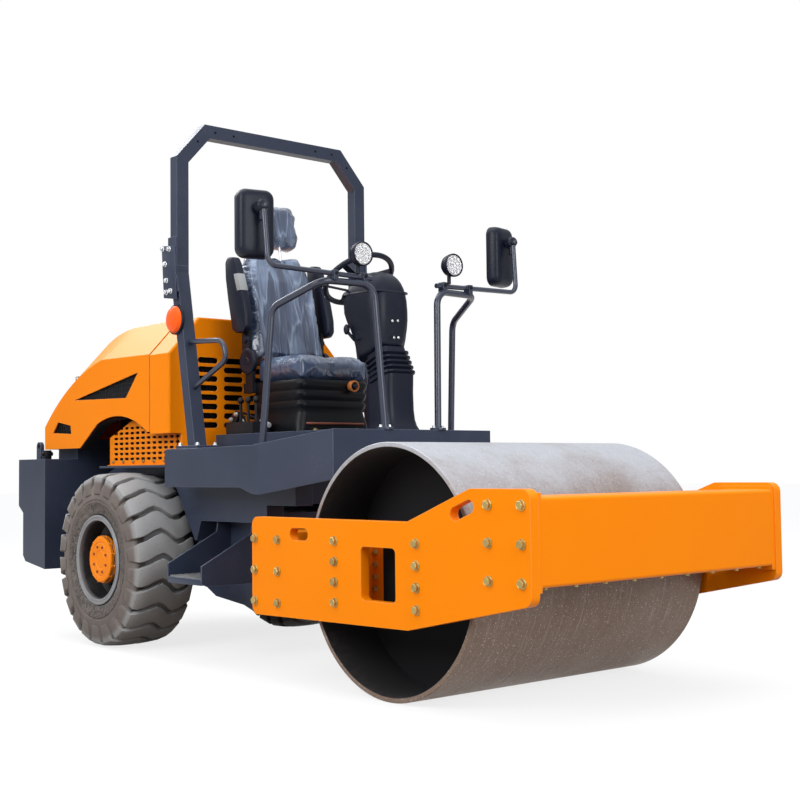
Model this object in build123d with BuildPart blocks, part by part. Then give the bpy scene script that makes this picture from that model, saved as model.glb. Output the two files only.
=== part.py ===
from build123d import *
import os
from math import atan2, cos, degrees, radians, sin

# Single-drum soil compactor, millimetres. X points forward, Y to the machine's left, Z up.
# Pieces are drawn from the point on the ground under the drum's axis, and each is moved as it
# is written, so that the origin lies on the ground under the middle of the whole machine.
# Side pieces are drawn on the right (negative Y) and mirrored to the left.

# --- Drum ---
DRUM_R = 600
DRUM_HALF_WIDTH = 793
DRUM_WALL = 25
DRUM_EDGE = 4
WEB_Y = DRUM_HALF_WIDTH - 313
WEB_WALL = 25
TRUNNION_R = 110
TRUNNION_END = DRUM_HALF_WIDTH - 173

# --- Drum frame ---
PLATE_IN = DRUM_HALF_WIDTH + 39
PLATE_WALL = 50
PLATE_REAR_X = -976
PLATE_FRONT_X = 1002
PLATE_REAR_TOP = 837
PLATE_FRONT_TOP = 987
PLATE_FRONT_BOTTOM = 517
PLATE_REAR_BOTTOM = 339
PLATE_RISE_X = (242, 650)
PLATE_KINK = (242, 357)
PLATE_CORNER_R = 45
WINDOW = 247
WINDOW_AT = (38.5, 592.5)
WINDOW_R = 25
LIFT_SLOT = (152, 60)
LIFT_SLOT_REAR = (-571, 757)
LIFT_SLOT_FRONT = (600, 894)
BRACKET_X = 11.5
BRACKET_HALF = 234
BRACKET_FLANGE = 95
BRACKET_HALF_HEIGHT = 215
BRACKET_WALL = 22
BRACKET_OUT = PLATE_IN - 117
MOUNT_HALF = 210
MOUNT_WALL = 45
BUFFER_R = 52
BUFFER_AT = 145
BEAM_FRONT_X = 995
BEAM_DEPTH = 280
BEAM_Z = (583, 953)
BEAM_WALL = 16
BEAM_FLANGE = 22
BEAM_FLANGE_LIP = 18
REAR_BEAM_X = (-960, -700)
REAR_BEAM_Z = (400, 760)
SCRAPER_GAP = 12
SCRAPER_WALL = 14
SCRAPER_FOOT = 90
REAR_SCRAPER_Z = 480

# --- Articulation ---
PIVOT_X = -1400
PIVOT_Z = 600
PIVOT_PIN_R = 45
PIVOT_LUG_Z = ((370, 410), (790, 830))
PIVOT_LUG_R = 105
HUB_R = 75
SWING_SHAFT_R = 60
SWING_SHAFT_END = -1000
SWING_HOUSING_R = 125
SWING_HOUSING_X = -1215
BEARING_CLEAR = 1
STEER_EAR = (-1270, 200)
STEER_ANCHOR = (-1950, 290)
STEER_PIN_R = 20
CYLINDER_R = 42
BARREL_SPAN = (34, 430)
ROD_R = 20
ROD_LENGTH = 500
EYE_HALF = 22

# --- Rear frame and axle ---
AXLE_X = -2711
TYRE_R = 535
TYRE_OUT = 868
TYRE_WIDTH = 410
TYRE_SHOULDER = 70
RIM_R = 254
RIM_FLANGE_R = 276
RIM_FLANGE_OUT = 856
RIM_WALL = 12
TYRE_BULGE_R = RIM_FLANGE_R + 0.425 * (TYRE_R - RIM_FLANGE_R)
DISH_Y = 700
HUB_CAP_R = 143
HUB_CAP_OUT = 833
STUB_R = 60
STUB_END = 700
AXLE_TUBE_R = 85
AXLE_TUBE_END = 500
DIFFERENTIAL_R = 185
RAIL_Y = (400, 430)
RAIL_REAR_X = -3563
RAIL_FRONT_X = -1640
LEDGE_TOP = 1112
LEDGE_WALL = 12
WEIGHT_HALF = 800
WEIGHT_REAR_X = -3985
WEIGHT_FRONT_X = -3563
WEIGHT_TOP = 1167
PLINTH_X = (-3850, -3563)
PLINTH_TOP = 1300
EYE_TOP = WEIGHT_TOP + 123
EYE_Y = 650
EYE_WALL = 25
EYE_R = 34
EYE_BORE_R = 20
TANK_Y = (430, 545)
TANK_BOTTOM = 780
TANK_FRONT_X = -1330
FENDER_BOTTOM = 663

# --- Platform ---
DECK_REAR_X = -2200
DECK_FRONT_X = -693
DECK_TOP = 1205
DECK_WALL = 12
FLOOR_TOP = DECK_TOP + 82
FLOOR_REAR_X = -1945
FLOOR_HALF = 480
FASCIA_KNEE_Y = 330
WALL_BOTTOM = 880
WALL_FRONT_X = -1060
SKIRT_Y = 760
SKIRT_REAR_X = -2060
SKIRT_BEND_X = -1095
SKIRT_FRONT_Y = 568
SKIRT_FRONT_Z = 1024
SKIRT_WALL = 10
STEP_X = (-1868, -1512)
STEP_OUT = 855
STEP_TOP = 478
STEP_WALL = 10

# --- Hood ---
HOOD_HALF = 650
HOOD_TOP_HALF = HOOD_HALF - 214
HOOD_FRONT_X = -2200
HOOD_SEAM_X = -2426
HOOD_SEAM_GAP = 9
HOOD_SKIN = 8
HOOD_CREASE_Z = 1790
HOOD_TOP_Z = 2020
HOOD_BOTTOM_Z = 1305
HINGE_AT = (-2588, 1996)
HINGE_PIN_R = 8
HINGE_Y = 300
HINGE_WALL = 12
HOOD_FOOT_Z = 1200
HOOD_LOWEST_Z = 1236
HOOD_VENTS = (((-3436, 1559), (-2573, 1694), (-2728, 1541)),
              ((-3755, 1347), (-3678, 1420), (-3491, 1391), (-3479, 1334)))
GRILLE_Y = HOOD_HALF - 90
GRILLE_WALL = 6
GRILLE_TOP = 1400
GRILLE_REAR_X = -3104
GRILLE_CORNER = (292, 102)
GRILLE_SLOT = (50, 17)
GRILLE_PITCH = (70, 33)
ENGINE_X = (-3400, -2520)
ENGINE_HALF = 320
ENGINE_Z = (812, 1480)

# --- Roll-over frame ---
ROPS_X = -2033.5
ROPS_TUBE = (75, 80)
ROPS_HALF = 713
ROPS_TOP = 3162
ROPS_KNEE_Z = ROPS_TOP - 219
ROPS_TOP_HALF = 518
ROPS_JOINT_Z = 2290
ROPS_BASE_X = -1842
SPLICE_WALL = 12

# --- Operator's place ---
RAIL_TUBE_R = 19
RAIL_BEND = 85
ARM_TUBE_R = 14
ARM_BEND = 55
LAMP_R = 62
LAMP_AT = (-755, 332, 2225)
MIRROR_SIZE = (70, 190, 350)
MIRROR_AT = (-890, 905, 2355)
SEAT_HALF = 260
SEAT_X = (-1860, -1400)
SEAT_Z = (FLOOR_TOP + 313, FLOOR_TOP + 446)
SEAT_FOOT_HALF = 190
BELLOWS_X = (-1880, -1425)
BELLOWS_HALF = 235
BELLOWS_Z = FLOOR_TOP + 128
RECLINER_AT = (-1898, FLOOR_TOP + 445)
RECLINER_R = 78
RECLINER_WALL = 22
BACK_LENGTH = 735
BACK_WALL = 120
BACK_LEAN = 12
HEADREST = (330, 110, 285)
WHEEL_AT = (-1175, 0, FLOOR_TOP + 883)
WHEEL_R = 205
WHEEL_RIM_R = 16
WHEEL_TILT = 35

MIDDLE = Location(((PLATE_FRONT_X + WEIGHT_REAR_X) / 2, 0, 0))
os.makedirs("parts", exist_ok=True)


def save(part, label):
    """Write one finished piece under its own name, measured from the machine's middle."""
    placed = part.moved(MIDDLE.inverse())
    placed.label = label
    export_step(placed, f"parts/{label}.step")


def save_pair(part, label):
    """Write a right-hand piece and its mirror image on the left."""
    save(part, "right_" + label)
    save(mirror(part, about=Plane.XZ), "left_" + label)


def block(x, y, z, mode=Mode.ADD):
    """Add a box that fills the (low, high) spans of x, y and z."""
    with Locations(((x[0] + x[1]) / 2, (y[0] + y[1]) / 2, (z[0] + z[1]) / 2)):
        Box(abs(x[1] - x[0]), abs(y[1] - y[0]), abs(z[1] - z[0]), mode=mode)


def across(x, z):
    """A plane at (x, 0, z) whose own axes are the machine's Y and Z."""
    return Plane(origin=(x, 0, z), x_dir=(0, 1, 0), z_dir=(1, 0, 0))


# --- Drum: open shell, recessed webs and the trunnions that turn in the bearings ---
with BuildPart() as drum:
    with BuildSketch(across(0, DRUM_R)):
        with Locations((0, DRUM_R - DRUM_WALL / 2)):
            Rectangle(2 * DRUM_HALF_WIDTH, DRUM_WALL)
        with Locations((WEB_Y - WEB_WALL / 2, DRUM_R / 2), (WEB_WALL / 2 - WEB_Y, DRUM_R / 2)):
            Rectangle(WEB_WALL, DRUM_R - DRUM_WALL)
        with Locations((0, TRUNNION_R / 2)):
            Rectangle(2 * TRUNNION_END, TRUNNION_R)
    revolve(axis=Axis((0, 0, DRUM_R), (0, 1, 0)))
    rims = drum.edges().filter_by(GeomType.CIRCLE).group_by(Axis.Y)
    chamfer(rims[0] + rims[-1], DRUM_EDGE)
save(drum.part, "drum")

# --- Side plates of the drum frame ---
rise_angle = degrees(atan2(PLATE_FRONT_TOP - PLATE_REAR_TOP, PLATE_RISE_X[1] - PLATE_RISE_X[0]))
with BuildPart() as side_plate:
    with BuildSketch(Plane.XZ.offset(PLATE_IN)) as outline:
        with BuildLine():
            Polyline(
                (PLATE_REAR_X, PLATE_REAR_TOP), (PLATE_RISE_X[0], PLATE_REAR_TOP),
                (PLATE_RISE_X[1], PLATE_FRONT_TOP), (PLATE_FRONT_X, PLATE_FRONT_TOP),
                (PLATE_FRONT_X, PLATE_FRONT_BOTTOM), PLATE_KINK,
                (PLATE_REAR_X, PLATE_REAR_BOTTOM), close=True)
        make_face()
        ends = outline.vertices().group_by(Axis.X)
        fillet(ends[0] + ends[-1], PLATE_CORNER_R)
        with Locations(WINDOW_AT):
            RectangleRounded(WINDOW, WINDOW, WINDOW_R, mode=Mode.SUBTRACT)
        with Locations(LIFT_SLOT_REAR):
            SlotOverall(*LIFT_SLOT, mode=Mode.SUBTRACT)
        with Locations(Location((*LIFT_SLOT_FRONT, 0), (0, 0, rise_angle))):
            SlotOverall(*LIFT_SLOT, mode=Mode.SUBTRACT)
    extrude(amount=PLATE_WALL)
save_pair(side_plate.part, "side_plate")

# --- Hat-section brackets inside the plates ---
with BuildPart() as bracket:
    with BuildSketch(Plane.XY.offset(WINDOW_AT[1] - BRACKET_HALF_HEIGHT)) as hat:
        half, foot, wall = BRACKET_HALF, BRACKET_HALF + BRACKET_FLANGE, BRACKET_WALL
        with BuildLine():
            Polyline(
                (BRACKET_X - foot, -PLATE_IN), (BRACKET_X - half + wall, -PLATE_IN),
                (BRACKET_X - half + wall, -BRACKET_OUT), (BRACKET_X + half - wall, -BRACKET_OUT),
                (BRACKET_X + half - wall, -PLATE_IN), (BRACKET_X + foot, -PLATE_IN),
                (BRACKET_X + foot, wall - PLATE_IN), (BRACKET_X + half, wall - PLATE_IN),
                (BRACKET_X + half, wall - BRACKET_OUT), (BRACKET_X - half, wall - BRACKET_OUT),
                (BRACKET_X - half, wall - PLATE_IN), (BRACKET_X - foot, wall - PLATE_IN),
                close=True)
        make_face()
    extrude(amount=2 * BRACKET_HALF_HEIGHT)
save_pair(bracket.part, "drum_bracket")

# --- Bearing plates on rubber buffers, bored for the drum's trunnions ---
with BuildPart() as bearing:
    with BuildSketch(Plane.XZ.offset(TRUNNION_END - MOUNT_WALL)):
        with Locations((0, DRUM_R)):
            RectangleRounded(2 * MOUNT_HALF, 2 * MOUNT_HALF, BUFFER_R)
            Circle(TRUNNION_R + BEARING_CLEAR, mode=Mode.SUBTRACT)
    extrude(amount=MOUNT_WALL)
    with BuildSketch(Plane.XZ.offset(TRUNNION_END)):
        with Locations((0, DRUM_R)):
            with GridLocations(2 * BUFFER_AT, 2 * BUFFER_AT, 2, 2):
                Circle(BUFFER_R)
    extrude(amount=BRACKET_OUT - BRACKET_WALL - TRUNNION_END)
save_pair(bearing.part, "drum_bearing")

# --- Front crossbeam: a box beam with bolted end flanges ---
beam_rear = BEAM_FRONT_X - BEAM_DEPTH
with BuildPart() as front_beam:
    with BuildSketch(Plane.XZ) as section:
        with Locations(((BEAM_FRONT_X + beam_rear) / 2, sum(BEAM_Z) / 2)):
            RectangleRounded(BEAM_DEPTH, BEAM_Z[1] - BEAM_Z[0], BEAM_WALL)
            Rectangle(BEAM_DEPTH - 2 * BEAM_WALL, BEAM_Z[1] - BEAM_Z[0] - 2 * BEAM_WALL,
                      mode=Mode.SUBTRACT)
    extrude(amount=PLATE_IN - BEAM_FLANGE, both=True)
    for side in (-1, 1):
        block((beam_rear - BEAM_FLANGE_LIP, BEAM_FRONT_X),
              (side * PLATE_IN, side * (PLATE_IN - BEAM_FLANGE)),
              (BEAM_Z[0] - BEAM_FLANGE_LIP, BEAM_Z[1] + BEAM_FLANGE_LIP))
save(front_beam.part, "front_crossbeam")

# --- Rear crossbeam with the housing of the swing shaft ---
with BuildPart() as rear_beam:
    block(REAR_BEAM_X, (-PLATE_IN, PLATE_IN), REAR_BEAM_Z)
    block((REAR_BEAM_X[0] + BEAM_WALL, REAR_BEAM_X[1] - BEAM_WALL), (-PLATE_IN, PLATE_IN),
          (REAR_BEAM_Z[0] + BEAM_WALL, REAR_BEAM_Z[1] - BEAM_WALL), mode=Mode.SUBTRACT)
    with BuildSketch(across(SWING_HOUSING_X, PIVOT_Z)):
        Circle(SWING_HOUSING_R)
    extrude(amount=REAR_BEAM_X[1] - SWING_HOUSING_X)
    with BuildSketch(Plane.XY.offset(PIVOT_Z - BEAM_WALL / 2)) as gusset:
        with BuildLine():
            Polyline(
                (SWING_HOUSING_X, -SWING_HOUSING_R), (REAR_BEAM_X[0], -PLATE_IN + PLATE_WALL),
                (REAR_BEAM_X[0], PLATE_IN - PLATE_WALL), (SWING_HOUSING_X, SWING_HOUSING_R),
                close=True)
        make_face()
    extrude(amount=BEAM_WALL)
    with BuildSketch(across(SWING_HOUSING_X, PIVOT_Z)):
        Circle(SWING_SHAFT_R + BEARING_CLEAR)
    extrude(amount=SWING_SHAFT_END + BEAM_WALL - SWING_HOUSING_X, mode=Mode.SUBTRACT)
save(rear_beam.part, "rear_crossbeam")

# --- Scrapers that clean the drum: label, side, x and z of the foot, top of the foot ---
SCRAPERS = (
    ("front_scraper", 1, beam_rear + SCRAPER_FOOT, BEAM_Z[0], BEAM_Z[0]),
    ("rear_scraper", -1, REAR_BEAM_X[1], REAR_SCRAPER_Z, REAR_SCRAPER_Z + SCRAPER_WALL),
)
for label, side, foot_x, foot_z, top_z in SCRAPERS:
    tip_x = side * (DRUM_R + SCRAPER_GAP)
    bend_x = side * (beam_rear - 20) if side > 0 else REAR_BEAM_X[1] + 20
    with BuildPart() as scraper:
        with BuildSketch(Plane.XZ) as blade:
            with BuildLine():
                Polyline(
                    (foot_x, top_z), (foot_x, foot_z - SCRAPER_WALL),
                    (bend_x, foot_z - SCRAPER_WALL), (tip_x, foot_z - 3 * SCRAPER_WALL),
                    (tip_x, foot_z - 2 * SCRAPER_WALL), (bend_x, top_z), close=True)
            make_face()
        extrude(amount=DRUM_HALF_WIDTH - 20, both=True)
    save(scraper.part, label)

# --- Centre joint: steering hub with pins, swing shaft and the ears for the cylinders ---
with BuildPart() as joint:
    with BuildSketch(Plane.XY.offset(PIVOT_LUG_Z[0][1] + BEARING_CLEAR * 4)):
        with Locations((PIVOT_X, 0)):
            Circle(HUB_R)
    extrude(amount=PIVOT_LUG_Z[1][0] - PIVOT_LUG_Z[0][1] - BEARING_CLEAR * 8)
    with BuildSketch(Plane.XY.offset(PIVOT_LUG_Z[0][0])):
        with Locations((PIVOT_X, 0)):
            Circle(PIVOT_PIN_R)
    extrude(amount=PIVOT_LUG_Z[1][1] - PIVOT_LUG_Z[0][0])
    block((PIVOT_X, PIVOT_X + 110), (-95, 95), (PIVOT_Z - 110, PIVOT_Z + 110))
    with BuildSketch(across(PIVOT_X + 110, PIVOT_Z)):
        Circle(SWING_SHAFT_R + 30)
    extrude(amount=SWING_HOUSING_X - PIVOT_X - 110 - 8)
    with BuildSketch(across(PIVOT_X, PIVOT_Z)):
        Circle(SWING_SHAFT_R)
    extrude(amount=SWING_SHAFT_END - PIVOT_X)
    for ear_z in (PIVOT_Z - 44, PIVOT_Z + 24):
        for side in (-1, 1):
            with BuildSketch(Plane.XY.offset(ear_z)):
                with BuildLine():
                    Polyline((PIVOT_X, side * 20), (PIVOT_X, side * 95),
                             (STEER_EAR[0] - 30, side * (STEER_EAR[1] + 36)),
                             (STEER_EAR[0] + 8, side * (STEER_EAR[1] - 36)),
                             (PIVOT_X + 100, side * 20), close=True)
                make_face()
                with Locations((STEER_EAR[0], side * STEER_EAR[1])):
                    Circle(38)
            extrude(amount=20)
    for pin_z in (PIVOT_Z - 50, PIVOT_Z + 24):
        with BuildSketch(Plane.XY.offset(pin_z)):
            with Locations((STEER_EAR[0], STEER_EAR[1]), (STEER_EAR[0], -STEER_EAR[1])):
                Circle(STEER_PIN_R)
        extrude(amount=26)
save(joint.part, "centre_joint")

# --- Steering cylinders, drawn along their own line from anchor to ear ---
reach = ((STEER_EAR[0] - STEER_ANCHOR[0]) ** 2 + (STEER_EAR[1] - STEER_ANCHOR[1]) ** 2) ** 0.5
cylinder_plane = Plane(
    origin=(STEER_ANCHOR[0], -STEER_ANCHOR[1], PIVOT_Z),
    x_dir=(0, 0, 1),
    z_dir=(STEER_EAR[0] - STEER_ANCHOR[0], STEER_ANCHOR[1] - STEER_EAR[1], 0))
with BuildPart() as barrel:
    with BuildSketch(cylinder_plane.offset(BARREL_SPAN[0])):
        Circle(CYLINDER_R)
    extrude(amount=BARREL_SPAN[1] - BARREL_SPAN[0])
    with BuildSketch(cylinder_plane.offset(BARREL_SPAN[0] + 16)):
        Circle(ROD_R + 8)
    extrude(amount=BARREL_SPAN[1] - BARREL_SPAN[0] - 50, mode=Mode.SUBTRACT)
    with BuildSketch(cylinder_plane.offset(BARREL_SPAN[0] + 16)):
        Circle(ROD_R + BEARING_CLEAR / 2)
    extrude(amount=BARREL_SPAN[1], mode=Mode.SUBTRACT)
    with BuildSketch(Plane.XY.offset(PIVOT_Z - 18)):
        with Locations((STEER_ANCHOR[0], -STEER_ANCHOR[1])):
            Circle(CYLINDER_R)
    extrude(amount=36)
    with BuildSketch(Plane.XY.offset(PIVOT_Z - CYLINDER_R)):
        with Locations((STEER_ANCHOR[0], -STEER_ANCHOR[1])):
            Circle(STEER_PIN_R + BEARING_CLEAR)
    extrude(amount=2 * CYLINDER_R, mode=Mode.SUBTRACT)
save_pair(barrel.part, "cylinder_barrel")

# The rod's eye is solid: its share of the pin turns with it, between the joint's two ears.
with BuildPart() as rod:
    with BuildSketch(cylinder_plane.offset(reach - ROD_LENGTH)):
        Circle(ROD_R)
    extrude(amount=ROD_LENGTH - 30)
    with BuildSketch(cylinder_plane.offset(reach - ROD_LENGTH)):
        Circle(ROD_R + 7)
    extrude(amount=30)
    with BuildSketch(Plane.XY.offset(PIVOT_Z - EYE_HALF)):
        with Locations((STEER_EAR[0], -STEER_EAR[1])):
            Circle(36)
    extrude(amount=2 * EYE_HALF)
save_pair(rod.part, "cylinder_rod")

# --- Rear chassis: two rails, pivot plates, cross members, ledges and cylinder anchors ---
with BuildPart() as chassis:
    for side in (-1, 1):
        inner_face = RAIL_Y[1] if side < 0 else -RAIL_Y[0]
        with BuildSketch(Plane.XZ.offset(inner_face)) as rail:
            with BuildLine():
                Polyline(
                    (RAIL_FRONT_X, 268), (-1731, 295), (-2030, 327), (-2153, 385),
                    (-2330, 385), (-2440, 650), (-2990, 650),
                    (-3120, 430), (RAIL_REAR_X, 430), (RAIL_REAR_X, 1000),
                    (-3240, LEDGE_TOP), (-2100, LEDGE_TOP), (-2030, TANK_BOTTOM + 50),
                    (RAIL_FRONT_X, TANK_BOTTOM + 50), close=True)
            make_face()
        extrude(amount=RAIL_Y[0] - RAIL_Y[1])
        block((GRILLE_REAR_X - 10, -2210), (side * RAIL_Y[0], side * (HOOD_HALF - 20)),
              (LEDGE_TOP - LEDGE_WALL, LEDGE_TOP))
    for low, high in PIVOT_LUG_Z:
        with BuildSketch(Plane.XY.offset(low)) as lug:
            with BuildLine():
                Polyline((PIVOT_X, -PIVOT_LUG_R), (PIVOT_X, PIVOT_LUG_R),
                         (RAIL_FRONT_X, RAIL_Y[1]), (RAIL_FRONT_X - 420, RAIL_Y[1]),
                         (RAIL_FRONT_X - 420, -RAIL_Y[1]), (RAIL_FRONT_X, -RAIL_Y[1]), close=True)
            make_face()
            with Locations((PIVOT_X, 0)):
                Circle(PIVOT_LUG_R)
                Circle(PIVOT_PIN_R + BEARING_CLEAR, mode=Mode.SUBTRACT)
        extrude(amount=high - low)
    for x in (-2080, -2480, -3300):
        block((x - 12, x + 12), (-RAIL_Y[0], RAIL_Y[0]),
              (660 if x < -2100 else 370, ENGINE_Z[0] if x < -2100 else 830))
    for side in (-1, 1):
        block((AXLE_X - 90, AXLE_X + 90), (side * RAIL_Y[0], side * RAIL_Y[1]), (TYRE_R + 45, 660))
        for low in (PIVOT_Z - 44, PIVOT_Z + 24):
            block((STEER_ANCHOR[0] - 40, STEER_ANCHOR[0] + 25),
                  (side * (STEER_ANCHOR[1] - 40), side * RAIL_Y[0]), (low, low + 20))
        with BuildSketch(Plane.XY.offset(PIVOT_Z - 50)):
            with Locations((STEER_ANCHOR[0], side * STEER_ANCHOR[1])):
                Circle(STEER_PIN_R)
        extrude(amount=100)
    with BuildSketch(Plane.XZ):
        with Locations((AXLE_X, TYRE_R)):
            Circle(AXLE_TUBE_R + BEARING_CLEAR / 4)
    extrude(amount=RAIL_Y[1] + 10, both=True, mode=Mode.SUBTRACT)
save(chassis.part, "rear_chassis")

# --- Rear counterweight with two lifting eyes ---
with BuildPart() as weight:
    with BuildSketch(Plane.XZ) as flank:
        with BuildLine():
            Polyline((WEIGHT_REAR_X, WEIGHT_TOP), (WEIGHT_REAR_X, 860), (-3899, 800), (-3899, 509),
                     (-3860, 470), (WEIGHT_FRONT_X, 430), (WEIGHT_FRONT_X, WEIGHT_TOP), close=True)
        make_face()
    extrude(amount=WEIGHT_HALF, both=True)
    edges = weight.edges().filter_by(Axis.Z).group_by(Axis.X)[0]
    fillet(edges, 20)
    block(PLINTH_X, (-GRILLE_Y, GRILLE_Y), (WEIGHT_TOP, PLINTH_TOP))
    for side in (-1, 1):
        with BuildSketch(Plane.XZ.offset(-side * EYE_Y - EYE_WALL / 2)) as eye:
            with BuildLine():
                Polyline((WEIGHT_REAR_X, WEIGHT_TOP), (WEIGHT_REAR_X, EYE_TOP - EYE_R),
                         (WEIGHT_REAR_X + 2 * EYE_R, EYE_TOP - EYE_R),
                         (WEIGHT_REAR_X + 2 * EYE_R, WEIGHT_TOP), close=True)
            make_face()
            with Locations((WEIGHT_REAR_X + EYE_R, EYE_TOP - EYE_R)):
                Circle(EYE_R)
                Circle(EYE_BORE_R, mode=Mode.SUBTRACT)
        extrude(amount=EYE_WALL)
save(weight.part, "counterweight")

# --- Engine, one plain mass on the cross members ---
with BuildPart() as engine:
    block(ENGINE_X, (-ENGINE_HALF, ENGINE_HALF), ENGINE_Z)
save(engine.part, "engine_block")

# --- Rear axle: tube, differential and stubs for the wheels ---
with BuildPart() as axle:
    with BuildSketch(across(AXLE_X, TYRE_R)) as half_axle:
        with Locations((0, AXLE_TUBE_R / 2)):
            Rectangle(2 * AXLE_TUBE_END, AXLE_TUBE_R)
        with Locations((0, STUB_R / 2)):
            Rectangle(2 * STUB_END, STUB_R)
        with Locations((0, DIFFERENTIAL_R / 2)):
            Rectangle(150, DIFFERENTIAL_R)
        with Locations((0, DIFFERENTIAL_R / 2 - 20)):
            Rectangle(260, DIFFERENTIAL_R - 40)
    revolve(axis=Axis((AXLE_X, 0, TYRE_R), (0, 1, 0)))
save(axle.part, "rear_axle")

# --- Wheels: rim with dish and planetary hub, and the tyre's smooth envelope ---
axle_line = Axis((AXLE_X, 0, TYRE_R), (0, 1, 0))
tyre_in = TYRE_OUT - TYRE_WIDTH
with BuildPart() as rim:
    with BuildSketch(across(AXLE_X, TYRE_R)) as rim_half:
        with BuildLine():
            Polyline(
                (-RIM_FLANGE_OUT, RIM_FLANGE_R), (-RIM_FLANGE_OUT, RIM_R - RIM_WALL),
                (-DISH_Y - 40, RIM_R - RIM_WALL - 14), (-DISH_Y, RIM_R - 60),
                (-DISH_Y, HUB_CAP_R), (-HUB_CAP_OUT + 20, HUB_CAP_R), (-HUB_CAP_OUT, HUB_CAP_R - 14),
                (-HUB_CAP_OUT, 0), (-STUB_END - BEARING_CLEAR, 0),
                (-STUB_END - BEARING_CLEAR, STUB_R + BEARING_CLEAR),
                (-AXLE_TUBE_END - 12, STUB_R + BEARING_CLEAR), (-AXLE_TUBE_END - 12, HUB_CAP_R - 20),
                (-DISH_Y + 60, HUB_CAP_R), (-DISH_Y + RIM_WALL, HUB_CAP_R),
                (-DISH_Y + RIM_WALL, RIM_R - 56), (-DISH_Y - 20, RIM_R - RIM_WALL - 10),
                (-tyre_in - 14, RIM_R - RIM_WALL), (-tyre_in - 14, RIM_FLANGE_R),
                (-tyre_in - 26, RIM_FLANGE_R), (-tyre_in - 26, RIM_R),
                (-RIM_FLANGE_OUT + 12, RIM_R), (-RIM_FLANGE_OUT + 12, RIM_FLANGE_R), close=True)
        make_face()
    revolve(axis=axle_line)
save_pair(rim.part, "wheel_rim")

with BuildPart() as tyre:
    with BuildSketch(across(AXLE_X, TYRE_R)) as tyre_half:
        middle = -(TYRE_OUT + tyre_in) / 2
        with BuildLine():
            Polyline((-RIM_FLANGE_OUT + 14, RIM_R + 0.5), (-RIM_FLANGE_OUT + 14, RIM_FLANGE_R + 4),
                     (-TYRE_OUT, TYRE_BULGE_R), (-TYRE_OUT, TYRE_R - TYRE_SHOULDER))
            Line((-TYRE_OUT, TYRE_R - TYRE_SHOULDER), (-TYRE_OUT + 22, TYRE_R - 20))
            ThreePointArc((-TYRE_OUT + 22, TYRE_R - 20), (middle, TYRE_R), (-tyre_in - 22, TYRE_R - 20))
            Polyline((-tyre_in - 22, TYRE_R - 20), (-tyre_in, TYRE_R - TYRE_SHOULDER),
                     (-tyre_in, TYRE_BULGE_R), (-tyre_in - 28, RIM_FLANGE_R + 4),
                     (-tyre_in - 28, RIM_R + 0.5), (-RIM_FLANGE_OUT + 14, RIM_R + 0.5))
        make_face()
    revolve(axis=axle_line)
save_pair(tyre.part, "tyre")

# --- Skirts: a bent plate, cut to its side outline ---
inner_y = SKIRT_Y - SKIRT_WALL
with BuildPart() as skirt:
    with BuildSketch(Plane.XY.offset(900)) as strip:
        with BuildLine():
            Polyline(
                (SKIRT_REAR_X, -SKIRT_Y), (SKIRT_BEND_X, -SKIRT_Y), (DECK_FRONT_X, -SKIRT_FRONT_Y - 1),
                (DECK_FRONT_X - DECK_WALL - 1, -SKIRT_FRONT_Y + 8),
                (SKIRT_BEND_X - 2, -inner_y - 0.5), (SKIRT_REAR_X, -inner_y - 0.5), close=True)
        make_face()
    extrude(amount=400)
    with BuildSketch(Plane.XZ) as skirt_side:
        with BuildLine():
            Polyline((-1274, 983), (SKIRT_REAR_X - 1, 983), (SKIRT_REAR_X - 1, 1200),
                     (-1130, 1210), (-1040, 1226), (DECK_FRONT_X + 1, FLOOR_TOP),
                     (DECK_FRONT_X + 1, SKIRT_FRONT_Z), (-1060, 952))
            ThreePointArc((-1060, 952), (-1110, 946), (-1160, 951))
            Line((-1160, 951), (-1274, 983))
        make_face()
    extrude(amount=SKIRT_Y + 40, mode=Mode.INTERSECT)
save_pair(skirt.part, "skirt")

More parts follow.
